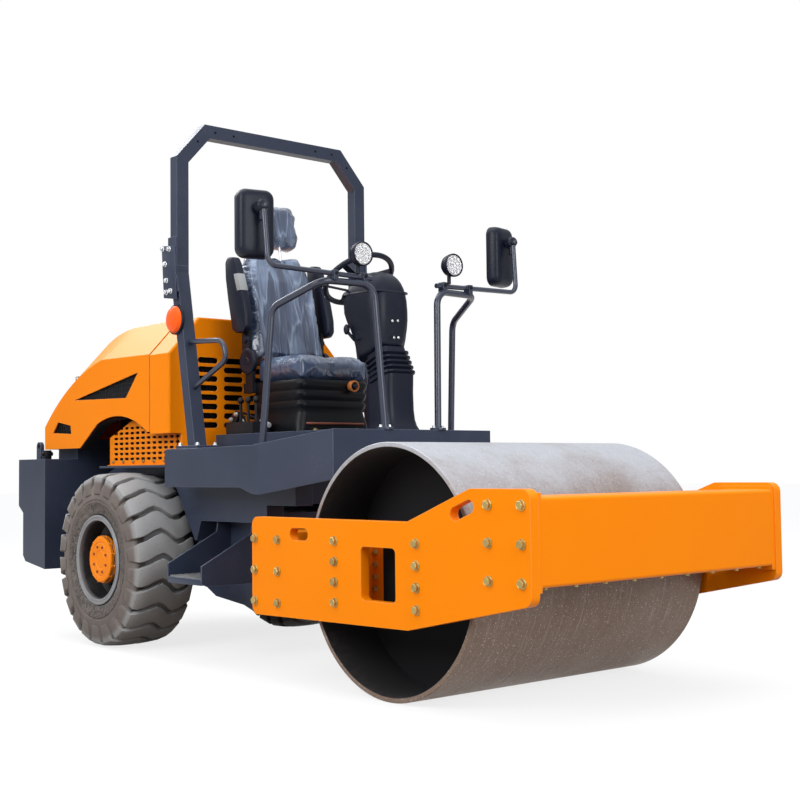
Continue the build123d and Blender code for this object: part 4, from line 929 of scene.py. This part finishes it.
class ROLLER_OT_hood(bpy.types.Operator):
    """Dark lining, vent mesh, radiator, handle and latches round the hood"""
    bl_idname = "roller.hood"
    bl_label = "Hood fittings"

    def execute(self, context):
        vents = (((-3450, -632, 1520), (-2540, -628, 1720)),
                 ((-3760, -628, 1325), (-3470, -624, 1425)))
        for index, (low, high) in enumerate(vents):
            mesh = vent_mesh("vent_mesh_%d" % index, at(*low), at(*high), 0.03)
            fit_pair(mesh, "black_paint", body="hood")
        arch = side_path(-640, (-2468, 1312), (-2560, 1369), (-2670, 1408), (-2790, 1420),
                         (-2960, 1413), (-3110, 1381), (-3230, 1306), (-3362, 1222))
        band = [spot - Vector((0, 0, 0.004)) for spot in reversed(arch)]
        lining = prism("arch_lining", arch + band, (0, 0.07, 0), 0.8)
        fit_pair(lining, "dark_inside", body="hood")
        core = block("core", at(-2262, -560, 1230), at(-2240, 560, 1900), 4)
        fin = block("fin", at(-2240, -555, 1240), at(-2232, -549, 1890), 1, 1)
        fins = copies(fin, "fins", [Matrix.Translation((0, 0.03 * i, 0)) for i in range(37)])
        fit_out(join("radiator", [core, fins]), "dark_inside")
        flange = prism("grille_flange", path((-2208, -561, 1114), (-3104, -561, 1114),
                                             (-3104, -578, 1114), (-2208, -578, 1114)),
                       (0, 0, 0.006), 1)
        fit_pair(flange, "orange")
        bolts = bolt_set("grille_bolts", [at(-2270 - 130 * i, -561, 1140) for i in range(7)], OUT,
                         (16, 8, 12))
        fit_pair(bolts, "zinc")
        handle = tube("hood_handle", path((-3945, -60, 1330), (-3965, -60, 1360),
                                          (-3965, 60, 1360), (-3945, 60, 1330)), 8, 20)
        fit_out(handle, "black_paint", body="hood")
        bracket = block("tail_bracket", at(-3840, -690, 1167), at(-3790, -640, 1230), 6)
        pin = rod("tail_pin", at(-3815, -705, 1205), at(-3815, -625, 1205), 14, edge=2)
        fit_pair(join("tail_latch", [bracket, pin]), "black_paint")
        return {"FINISHED"}


def vent_mesh(name, low, high, pitch):
    """A woven mesh: crossing wires with a black sheet behind them, painted shade for the dark hood
    interior.
    """
    middle, span = (low + high) / 2, high - low
    deselect()
    bpy.ops.mesh.primitive_grid_add(
        x_subdivisions=round(span.x / pitch), y_subdivisions=round(span.z / pitch),
        size=1, location=middle, rotation=(pi / 2, 0, 0))
    wires = settle(bpy.context.object)
    edit(wires)
    bpy.ops.transform.resize(value=(span.x, 1, span.z), center_override=middle)
    bpy.ops.object.mode_set(mode="OBJECT")
    modify(wires, "WIREFRAME", thickness=0.006)
    # The black sheet behind the wires is painted shade.
    sheet = block("shade_backing", (low.x, middle.y + 0.012, low.z),
                  (high.x, middle.y + 0.016, high.z), 1)
    return join(name, [wires, sheet])


class ROLLER_OT_rops(bpy.types.Operator):
    """Splice covers, bolts, plugs, marker lamps and grab handles of the roll-over frame"""
    bl_idname = "roller.rops"
    bl_label = "Roll-over frame fittings"

    def execute(self, context):
        plate = prism("splice_cover", side_path(-724, (-2143, 2421), (-1997, 2400),
                                                (-1975, 2084), (-2118, 2104)),
                      (0, -0.008, 0), 1.5)
        fit_pair(plate, "slate")
        splice = bolt_set("splice_bolts", side_path(
            -732, (-2124, 2399), (-2050, 2389), (-2096, 2304), (-2081, 2205), (-2081, 2134),
            (-2033, 2138)), OUT, (24, 14, 16, 4))
        fit_pair(splice, "bright_steel")
        feet = bolt_set("foot_bolts", [at(x, y, 1221) for x in (-1935, -1750)
                                       for y in (-728, -612)], UP, (20, 12, 14, 6))
        fit_pair(feet, "bright_steel")
        plugs = [lathe("plug", ((0, 0), (1, 0), (1, 5), (1.8, 5.5), (1.8, 6.5), (0, 7), (0, 0)),
                       spot, AHEAD, 20)
                 for spot in path((-1996, -568, 3050), (-1996, -445, 3122), (-1996, -312, 3122))]
        fit_pair(join("hoop_plugs", plugs), "dark_inside")
        lamp = at(-2000, -713, 1965)
        base = lathe("lamp_base", ((0, 0), (16, 0), (16, 78), (14, 88), (4, 90), (0, 90), (0, 0)),
                     lamp, OUT)
        fit_pair(base, "black_plastic")
        dome = lathe("marker_lens", ((16.5, 0), (44, 0), (43, 30), (39, 55), (32, 71), (16.5, 80),
                                     (16.5, 0)), lamp, OUT)
        fit_pair(dome, "amber")
        handle = tube("grab_handle", path((-1935, -673, 1832), (-1570, -673, 1812),
                                          (-1525, -673, 1700), (-1880, -673, 1557)), 15.5, 90)
        fit_pair(handle, "slate_tube")
        return {"FINISHED"}


class ROLLER_OT_rails(bpy.types.Operator):
    """Handrail feet, work lamps, mirrors and clamps"""
    bl_idname = "roller.rails"
    bl_label = "Rail fittings"

    def execute(self, context):
        feet = bolt_set("rail_bolts", path((-722, -223, 1299), (-722, -161, 1299)), UP,
                        (16, 10, 11))
        fit_pair(feet, "bright_steel")
        clamps = bolt_set("clamp_bolts", path((-752, -290, 2112), (-752, -490, 2112)), AHEAD,
                          (14, 8, 10))
        fit_pair(clamps, "black_paint")
        work_lamps()
        mirrors()
        return {"FINISHED"}


def work_lamps():
    """Rim with cooling fins, a disc of bowls and a domed glass."""
    centre = at(-725, -332, 2225)
    parts = [lathe("lamp_rim", ((-12, 62.5), (-12, 66), (3, 66.5), (7, 65), (7, 60.5),
                                (1, 59.5), (-1, 59.5), (-12, 62.5)), centre, AHEAD)]
    for depth, reach in ((42, 56), (52, 48), (62, 38)):
        parts.append(ring("fin", centre - Vector((depth, 0, 0)) / 1000, AHEAD, reach, 3))
    fit_pair(join("lamp_rim", parts), "black_plastic")
    bowls = [lathe("disc", ((0, 0), (1.2, 1), (1.2, 58), (0, 59.5), (0, 0)), centre, AHEAD, 40)]
    for radius, count in ((0, 1), (23, 6), (44, 10)):
        for index in range(count):
            turn = 2 * pi * index / count
            spot = centre + Vector((1, radius * sin(turn), radius * cos(turn))) / 1000
            bowls.append(lathe("bowl", ((0, 0), (1.5, 4), (1, 5), (4.5, 10.5), (1, 11.5), (0, 0)),
                               spot, AHEAD, 8))
    fit_pair(join("lamp_bowls", bowls), "reflector")
    glass = lathe("lamp_glass", ((6, 0), (9, 0), (8.5, 30), (6, 55.5), (4, 55.5), (6, 0)),
                  centre, AHEAD)
    fit_pair(glass, "lens")


def mirrors():
    """Housings with a recessed back, the ball clamp and the glass."""
    turn = Matrix.Translation(at(-925, -893, 2350)) @ Matrix.Rotation(radians(-12), 4, "Z")
    shell = tower("shell", (
        (-22, 0, 338, 182), (-27, 0, 350, 194), (-20, 0, 360, 204), (12, 0, 358, 202),
        (30, 0, 350, 194), (42, 0, 336, 180), (48, 0, 320, 164), (52, 0, 280, 124),
        (54, 0, 200, 60)), 45, 7, Vector())
    shell.data.transform(turn @ Matrix.Rotation(radians(90), 4, "Y"))
    ball_at = at(-828, -908, 2430)
    neck = rod("neck", ball_at + Vector((-0.05, 0, 0)), ball_at, 22, 26, edge=3)
    knob = ball("knob", ball_at, 31)
    cap = lathe("cap", ((-34, 0), (-34, 24), (-30, 33), (4, 34), (10, 28), (22, 26), (26, 20),
                        (26, 0), (-34, 0)), ball_at, (1, 0, 0.25), 32)
    collar = lathe("collar", ((0, 14.2), (0, 19), (50, 19), (55, 14.2), (0, 14.2)),
                   ball_at + Vector((0, 0, -0.075)), UP, 24)
    whole = join("mirror_housing", [shell, neck, knob, cap, collar])
    for piece, side in fit_pair(whole, "black_plastic"):
        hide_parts(side + "_mirror")
    glass = tower("mirror_glass", ((22.5, 0, 326, 170), (27.5, 0, 326, 170),
                                   (28.5, 0, 324, 168)), 40, 6, Vector())
    glass.data.transform(turn @ Matrix.Rotation(radians(-90), 4, "Y"))
    fit_pair(glass, "mirror_glass")


# ---------------------------------------------------------------- seat and controls

SEAT_TURN = Matrix.Translation(at(-1898, 0, 1713)) @ Matrix.Rotation(radians(-12), 4, "Y")
FOLD_SEED = 1  # the film's folds come out alike on every run


def stuff(piece, voxel, cap, folds, stretch, slack=0.04):
    """Fill a pad: remesh it, blow it up as cloth, cap the swell, then gather its loose film."""
    modify(piece, "REMESH", mode="VOXEL", voxel_size=voxel / 1000)
    start = [vertex.co.copy() for vertex in piece.data.vertices]
    pick(piece)
    cloth = piece.modifiers.new("Cloth", "CLOTH")
    cloth.settings.use_pressure = True
    cloth.settings.uniform_pressure_force = 4
    cloth.settings.shrink_min = -slack
    cloth.settings.quality = 4
    cloth.settings.effector_weights.gravity = 0
    cloth.collision_settings.use_collision = False
    last_frame = cloth.point_cache.frame_end = 20
    for frame_number in range(1, last_frame + 1):
        bpy.context.scene.frame_set(frame_number)
    bpy.ops.object.modifier_apply(modifier=cloth.name)
    bpy.context.scene.frame_set(1)
    for vertex, place in zip(piece.data.vertices, start):
        step = vertex.co - place
        if step.length > cap / 1000:
            vertex.co = place + step * (cap / 1000 / step.length)
    piece.data.update()
    normals = [vertex.normal.copy() for vertex in piece.data.vertices]
    warp_scale, ridge_scale, small_scale, small_share = 4, 5.5, 14, 0.3
    for vertex, normal in zip(piece.data.vertices, normals):
        spot = Vector([value * share for value, share in zip(vertex.co, stretch)])
        warp = noise.noise_vector(spot * warp_scale) * 0.35
        ridge = 1 - abs(noise.noise(spot * ridge_scale + warp * 4)) * 2.4
        small = 1 - abs(noise.noise(spot * small_scale + warp * 6)) * 2.2
        vertex.co += normal * (folds / 1000) * (ridge + small * small_share)
    piece.data.update()
    return smooth(modify(piece, "SUBSURF", levels=1, render_levels=1), 180)


class ROLLER_OT_seat(bpy.types.Operator):
    """Wrapped cushion, back and headrest, armrests, reclining gear and bellows"""
    bl_idname = "roller.seat"
    bl_label = "Seat"

    def execute(self, context):
        noise.seed_set(FOLD_SEED)
        cushion()
        backrest()
        headrest()
        armrests()
        seat_base()
        return {"FINISHED"}


def cushion():
    low, high = at(-1850, -243, 1610), at(-1410, 243, 1732)
    pad = block("seat_pad", low, high)
    edit(pad)
    bpy.ops.mesh.subdivide(number_cuts=3)
    push(pad, (0, 0, -0.012), lambda co: co.z > high.z - 0.002 and abs(co.y) < 0.05)
    push(pad, (-0.012, 0, -0.008), lambda co: co.x > high.x - 0.002 and co.z > high.z - 0.02)
    round_edges(close(pad), 30, 4, 40)
    stuff(pad, 6, 18, 1.2, (1.0, 0.7, 0.5), 0.01)
    fit_out(pad, "seat_wrap")
    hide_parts("seat_cushion")


def backrest():
    """Backrest with side bolsters, narrowing to its shoulders."""
    pad = block("seat_backrest", (-0.045, -0.26, 0.02), (0.05, 0.26, 0.715))
    edit(pad)
    for height in (0.14, 0.27, 0.4, 0.52, 0.62):
        cut((0, 0, height), UP)
    for across in (-0.155, 0, 0.155):
        cut((0, across, 0), (0, 1, 0))
    for height, share in ((0.7, 0.7), (0.61, 0.87), (0.51, 0.96), (0.13, 0.98), (0.01, 0.96)):
        squeeze(pad, (1, share, 1), (0, 0, height), lambda co: height < co.z < height + 0.04)
    push(pad, (0.022, 0, 0), lambda co: co.x > 0.04 and abs(co.y) > 0.2)
    push(pad, (-0.016, 0, 0), lambda co: co.x > 0.04 and co.z > 0.6)
    round_edges(close(pad), 28, 3, 40)
    stuff(pad, 7, 22, 5, (1.0, 1.7, 0.4))
    pad.data.transform(SEAT_TURN)
    fit_out(pad, "seat_wrap")
    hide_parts("seat_back")


def headrest():
    pad = block("seat_headrest", (-0.088, -0.187, 0.783), (0.042, 0.207, 1.062))
    edit(pad)
    bpy.ops.mesh.subdivide(number_cuts=3)
    for height, share in ((1.05, 0.84), (0.8, 0.9)):
        squeeze(pad, (0.9, share, 1), (-0.03, 0.01, height),
                lambda co: abs(co.z - height) < 0.02)
    round_edges(close(pad), 50, 5, 40)
    stuff(pad, 6, 18, 1.8, (1.0, 1.3, 0.8))
    pad.data.transform(SEAT_TURN)
    fit_out(pad, "seat_wrap")
    posts = [rod("post", (0, y, 0.69), (0, y, 0.8), 7.5) for y in (-0.07, 0.07)]
    stem = join("headrest_posts", posts)
    stem.data.transform(SEAT_TURN)
    fit_out(stem, "bright_steel")
    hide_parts("headrest")


def armrests():
    """Upright folded arms with their hinges and the plate on each arm's outer corner."""
    rest = prism("armrest", side_path(
        -283, (-1990, 1925), (-1950, 1905), (-1870, 1905), (-1838, 1935), (-1842, 2010),
        (-1868, 2110), (-1905, 2220), (-1945, 2330), (-1972, 2372), (-2040, 2380), (-2066, 2350),
        (-2062, 2250), (-2035, 2110)), (0, -0.055, 0), 14)
    hinge = lathe("hinge", ((0, 0), (30, 0), (30, 20), (20, 28), (0, 30), (0, 0)),
                  at(-1915, -268, 1870), OUT, 32)
    strap = block("strap", at(-1940, -285, 1800), at(-1890, -268, 1930), 6)
    whole = join("armrest_pad", [rest, hinge, strap])
    for piece, side in fit_pair(whole, "black_plastic"):
        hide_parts(side + "_armrest")
    front = prism("front_leaf", path((-1882, -290, 2160), (-1882, -332, 2160),
                                     (-1918, -332, 2265), (-1918, -290, 2265)),
                  (0.0018, 0, 0.0006), 0.4)
    outer = prism("side_leaf", side_path(-338.5, (-1922, 2265), (-1962, 2265), (-1926, 2160),
                                         (-1886, 2160)), (0, -0.0015, 0), 0.4)
    corner = prism("corner_leaf", path((-1882, -332, 2160), (-1886, -338.5, 2160),
                                       (-1922, -338.5, 2265), (-1918, -332, 2265)),
                   (0.0012, -0.0012, 0), 0.3)
    fit_pair(join("arm_plate", [front, outer, corner]), "grip_grey")


def fold_rows(count, x, z, pitch, grow, fold):
    """Rows of a folded boot: each fold stands pitch above the last and is grow wider."""
    return [(z + pitch * index + rise, x, depth + grow * index, width + grow * index)
            for index in range(count) for rise, depth, width in fold]


def seat_base():
    """Reclining gear, bellows, height knob, slides and their bar."""
    gear = lathe("recliner", ((-4, 0), (12, 0), (12, 18), (8, 22), (8, 50), (12, 56), (12, 68),
                              (6, 78), (-4, 80)), at(-1898, -283, 1732), OUT)
    fit_pair(gear, "black_plastic")
    skirt = [(1290, -1655, 500, 530), (1300, -1655, 510, 540), (1360, -1655, 490, 520),
             (1400, -1655, 475, 490)]
    slack = fold_rows(3, -1655, 1418, 60, 8, ((0, 470, 485), (20, 488, 503), (38, 496, 511),
                                              (52, 484, 499)))
    bellows = tower("bellows", skirt + slack + [(1600, -1655, 490, 500)], 50, 6)
    fit_out(bellows, "rubber")
    knob_at, knob_axis = at(-1378, 116, 1566), (1, 0, -0.1)
    collar = lathe("knob", ((-22, 12), (-22, 30), (0, 34), (12, 34), (14, 26), (4, 22),
                            (-22, 12)), knob_at, knob_axis, 32)
    fit_out(collar, "copper")
    core = lathe("knob_core", ((-30, 0), (20, 0), (22, 8), (18, 13), (8, 15), (6, 20.5),
                               (-30, 20.5), (-30, 0)), knob_at, knob_axis, 24)
    fit_out(core, "black_plastic")
    slides = []
    for y in (-155, 155):
        slides.append(block("slide", at(-1890, y - 22, 1288), at(-1400, y + 22, 1318), 4))
        slides.append(block("slide_top", at(-1870, y - 15, 1316), at(-1420, y + 15, 1334), 3))
    fit_out(join("seat_slides", slides), "black_paint")
    bar = tube("slide_bar", path((-1470, -210, 1346), (-1385, -205, 1342), (-1385, 205, 1342),
                                 (-1470, 210, 1346)), 7, 30)
    fit_out(bar, "rusty_bar")
    pins = bolt_set("slide_bolts", [at(-1400, y, 1306) for y in (-155, 155)], AHEAD,
                    (16, 10, 11))
    fit_out(pins, "zinc")


class ROLLER_OT_console(bpy.types.Operator):
    """Steering console with its gaiter, blank dials and switches"""
    bl_idname = "roller.console"
    bl_label = "Console"

    def execute(self, context):
        foot = tower("foot", (
            (1287, -884, 244, 232), (1294, -885, 242, 228), (1312, -888, 226, 214),
            (1345, -896, 216, 206), (1400, -902, 210, 204), (1500, -904, 206, 204),
            (1560, -900, 202, 204), (1622, -893, 190, 204)), 45, 3)
        join_line = tower("join_line", (
            (2058, -1030, 336, 267), (2062, -1030, 338, 270), (2068, -1030, 332, 265)), 60, 8)
        whole = join("console_body", [foot, gaiter(), console_housing(), join_line])
        fit_out(whole, "black_plastic")
        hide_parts("console")
        screws = bolt_set("console_screws", path(
            (-850, -26, 1896), (-850, 14, 1899), (-850, -15, 1803), (-850, 18, 1805)), AHEAD,
            (10, 4, 7.5))
        fit_out(screws, "bright_steel")
        console_panel()
        return {"FINISHED"}


def console_housing():
    """The upper housing, its lower rows sloping down towards the seat."""
    housing = tower("housing", (
        (1762, -974, 196, 200), (1768, -974, 208, 216), (1782, -976, 216, 230),
        (1812, -984, 240, 250), (1860, -998, 284, 266), (1910, -1012, 322, 276),
        (1960, -1024, 346, 280), (2020, -1030, 350, 276), (2060, -1030, 334, 266),
        (2092, -1026, 308, 250), (2120, -1022, 276, 226), (2144, -1018, 236, 198),
        (2164, -1016, 190, 164), (2178, -1014, 140, 124), (2184, -1014, 90, 76)), 60, 8)
    front = at(-876, 0, 0).x
    edit(housing)
    for reach in (1.79, 1.835):
        for back in (0.012, 0.03, 0.055, 0.08, 0.13, 0.16, 0.18):
            push(housing, (0, 0, -0.006), lambda co: co.z < reach and co.x < front - back)
    return smooth(close(housing), 60)


def gaiter():
    """Five folds, leaning back with the column."""
    rows = fold_rows(5, -886, 1604, 30.5, -3, ((0, 176, 196), (9, 204, 226), (17, 206, 228),
                                               (25, 180, 200)))
    piece = tower("gaiter", rows + [(1772, -886, 168, 190)], 45, 6)
    pivot = at(-790, 0, 1604)
    piece.data.transform(Matrix.Translation(pivot) @ Matrix.Rotation(radians(-21), 4, "Y")
                         @ Matrix.Translation(-pivot))
    return piece


def console_panel():
    """Three blank dials and a row of rocker switches facing the seat, a stalk and the lever."""
    tilt = Vector((-0.96, 0, 0.28)).normalized()
    dials, glasses = [], []
    for y, z, radius in ((-62, 2062, 34), (62, 2062, 34), (0, 2030, 26)):
        spot = at(-1206, y, z)
        dials.append(lathe("dial", (
            (-20, 0), (-1, 0), (0, radius * 0.82), (6, radius * 0.86), (7, radius),
            (0, radius * 1.06), (-20, radius * 1.06)), spot, tilt, 32))
        glasses.append(lathe("dial_glass", ((3, 0), (5, 0), (4, radius * 0.84),
                                            (2, radius * 0.84), (3, 0)), spot, tilt, 32))
    switches = [block("switch", at(-1214, y - 10, 1960), at(-1186, y + 10, 1996), 3)
                for y in (-66, -33, 0, 33, 66)]
    fit_out(join("dials", dials + switches), "rubber")
    fit_out(join("dial_glasses", glasses), "lens")
    root, reach = at(-1120, -100, 2085), Vector((-0.07, -0.15, 0.03))
    stalks = [rod("stalk", root, root + reach, 7),
              rod("stalk_tip", root + reach, root + reach * 1.3, 11, 13, edge=3),
              rod("shift", at(-1070, -118, 1800), at(-1095, -150, 1850), 9, edge=2),
              ball("shift_knob", at(-1098, -153, 1862), 20, (1, 0.8, 1.5)),
              lathe("boss", ((0, 0), (16, 0), (14, 30), (0, 45), (0, 0)), at(-1020, -118, 1830),
                    (0, -1, 0.1), 28)]
    fit_out(join("stalks", stalks), "black_plastic")


class ROLLER_OT_controls(bpy.types.Operator):
    """Steering wheel dressing and the lever beside the seat"""
    bl_idname = "roller.controls"
    bl_label = "Controls"

    def execute(self, context):
        lean = Matrix.Rotation(radians(-35), 3, "Y")
        hub, column = at(-1175, 0, 2170), lean @ Vector(UP)
        cap = lathe("wheel_cap", ((12, 0), (34, 0), (32, 20), (22, 36), (12, 40), (12, 0)), hub,
                    column, 36)
        fit_out(cap, "black_plastic", "steering_wheel")
        foot = hub + lean @ Vector((0, 0.205, 0.01))
        spinner = rod("spinner", foot, foot + column * 0.05, 12, 18, edge=5)
        fit_out(spinner, "black_plastic", "steering_wheel")
        bracket = prism("lever_bracket", side_path(
            -300, (-2060, 1290), (-2060, 1400), (-1990, 1440), (-1900, 1400), (-1880, 1290)),
            (0, -0.008, 0), 2)
        lever = tube("lever", path((-1990, -312, 1360), (-1930, -316, 1425), (-1850, -318, 1410),
                                   (-1700, -320, 1360)), 8, 30)
        grip = rod("grip", at(-1712, -320, 1364), at(-1620, -320, 1336), 13, 16, edge=4)
        fit_out(join("side_lever", [bracket, lever]), "black_paint")
        fit_out(grip, "grip_grey")
        bolts = bolt_set("lever_bolts", side_path(
            -308, (-2040, 1385), (-2035, 1310), (-1985, 1415), (-1915, 1370), (-1905, 1310)),
            OUT, (20, 12, 14))
        fit_out(bolts, "bright_steel")
        return {"FINISHED"}


class ROLLER_OT_steps(bpy.types.Operator):
    """Serrated step treads and their front lips"""
    bl_idname = "roller.steps"
    bl_label = "Steps"

    def execute(self, context):
        tooth = block("tooth", (-0.0055, -0.018, 0), (0.0055, 0.018, 0.011))
        edit(tooth)
        squeeze(tooth, (0.4, 0.75, 1), (0, 0, 0.009), lambda co: co.z > 0.005)
        teeth = copies(close(tooth), "step_teeth", [
            Matrix.Translation(at(-1850 + 20 * i, -832 + 44 * j, 478))
            for i in range(17) for j in range(5)])
        lip = block("step_lip", at(-1866, -857, 446), at(-1514, -852, 480), 2)
        fit_pair(teeth, "galvanised")
        fit_pair(lip, "slate")
        return {"FINISHED"}


# ---------------------------------------------------------------- stage

def seen_by(tree, *rays):
    """A mask that is 1 for the given kinds of ray."""
    kinds = node(tree, "LightPath").outputs
    mask = kinds[rays[0]]
    for ray in rays[1:]:
        mask = calc(tree, "MAXIMUM", mask, kinds[ray])
    return mask


def mixed_shader(tree, factor, first, second):
    return node(tree, "MixShader", (0, factor), (1, first), (2, second)).outputs[0]


class ROLLER_OT_stage(bpy.types.Operator):
    """Floor, soft lights and the camera"""
    bl_idname = "roller.stage"
    bl_label = "Stage"

    def execute(self, context):
        deselect()
        bpy.ops.mesh.primitive_plane_add(size=120, location=(0, 0, 0))
        floor = bpy.context.object
        floor.name = "floor"
        floor_finish(context.scene.roller_colours.floor)
        floor.data.materials.append(FINISHES["floor"])
        studio_world(context.scene)
        studio_lights()
        heading, pitch, roll = 0.8621, 0.053, -0.0113
        bpy.ops.object.camera_add(location=at(4636.4, -4678.4, 1073.1))
        camera = bpy.context.object
        camera.matrix_world = Matrix.Translation(camera.location) @ (
            Matrix.Rotation(heading, 4, "Z") @ Matrix.Rotation(pi / 2 + pitch, 4, "X")
            @ Matrix.Rotation(roll, 4, "Z"))
        camera.data.lens = context.scene.roller_sizes.lens * 1000
        camera.data.sensor_width = 36
        camera.data.clip_end = 200
        context.scene.camera = camera
        context.scene.view_settings.view_transform = "Standard"
        return {"FINISHED"}


def floor_finish(colour):
    """Nearly white to the camera, and a dull brown bounce to everything else."""
    tree, _ = new_finish("floor", colour, 0.9, specular=0.1)
    white = node(tree, "Emission", ("Color", (1, 1, 1, 1)), ("Strength", 1.0))
    shown = mixed_shader(tree, 0.78, tree.nodes["Principled BSDF"].outputs[0], white.outputs[0])
    ground = node(tree, "BsdfDiffuse", ("Color", (0.2, 0.155, 0.125, 1)))
    seen = seen_by(tree, "Is Camera Ray", "Is Glossy Ray", "Is Transmission Ray")
    feed(tree, tree.nodes["Material Output"].inputs["Surface"],
         mixed_shader(tree, seen, ground.outputs[0], shown))


def studio_world(scene):
    """A sky that is brighter overhead, seen as plain white behind the machine."""
    scene.world = bpy.data.worlds.new("studio")
    scene.world.use_nodes = True
    tree = scene.world.node_tree
    sky = tree.nodes["Background"]
    sky.inputs["Color"].default_value = (0.94, 0.97, 1.0, 1)
    height = axes(tree, node(tree, "TexCoord").outputs["Generated"])["Z"]
    feed(tree, sky.inputs["Strength"], mask_range(tree, height, 0.0, 0.9, 0.3, 1.25))
    white = node(tree, "Background", ("Color", (1, 1, 1, 1)), ("Strength", 1.0))
    seen = seen_by(tree, "Is Camera Ray", "Is Transmission Ray")
    feed(tree, tree.nodes["World Output"].inputs["Surface"],
         mixed_shader(tree, seen, sky.outputs[0], white.outputs[0]))


def studio_lights():
    """Soft panels facing the machine: place, size and power."""
    target = Vector((0, 0, 1))
    for name, place, size, power in (
            ("key", (1.5, -9.0, 5.5), 5.0, 560), ("front", (9.5, -1.0, 4.0), 5.0, 380),
            ("top", (-1.0, -1.0, 9.0), 7.0, 200), ("back", (-8.5, -0.5, 8.0), 4.0, 420)):
        bpy.ops.object.light_add(type="AREA", location=place)
        light = bpy.context.object
        light.name = name
        light.data.size = size
        light.data.energy = power
        light.rotation_euler = (target - Vector(place)).to_track_quat("-Z", "Y").to_euler()


# ---------------------------------------------------------------- add-on

class ROLLER_PT_panel(bpy.types.Panel):
    """Lists the roller's operators, colours and sizes"""
    bl_label = "Single-drum roller"
    bl_idname = "ROLLER_PT_panel"
    bl_space_type = "VIEW_3D"
    bl_region_type = "UI"
    bl_category = "Roller"

    def draw(self, context):
        column = self.layout.column()
        for operator in OPERATORS:
            column.operator(operator.bl_idname)
        for group in (context.scene.roller_colours, context.scene.roller_sizes):
            for name in group.bl_rna.properties.keys():
                if name not in ("rna_type", "name"):
                    column.prop(group, name)


OPERATORS = (ROLLER_OT_finishes, ROLLER_OT_stage, ROLLER_OT_plate_bolts, ROLLER_OT_tyres,
             ROLLER_OT_wheels, ROLLER_OT_hood, ROLLER_OT_rops, ROLLER_OT_rails, ROLLER_OT_seat,
             ROLLER_OT_console, ROLLER_OT_controls, ROLLER_OT_steps)
CLASSES = (RollerColours, RollerSizes, *OPERATORS, ROLLER_PT_panel)


def register():
    for item in CLASSES:
        bpy.utils.register_class(item)
    bpy.types.Scene.roller_colours = bpy.props.PointerProperty(type=RollerColours)
    bpy.types.Scene.roller_sizes = bpy.props.PointerProperty(type=RollerSizes)


def unregister():
    del bpy.types.Scene.roller_sizes
    del bpy.types.Scene.roller_colours
    for item in reversed(CLASSES):
        bpy.utils.unregister_class(item)


def main():
    register()
    for operator in OPERATORS:
        group, name = operator.bl_idname.split(".")
        getattr(getattr(bpy.ops, group), name)()


if __name__ == "__main__":
    main()
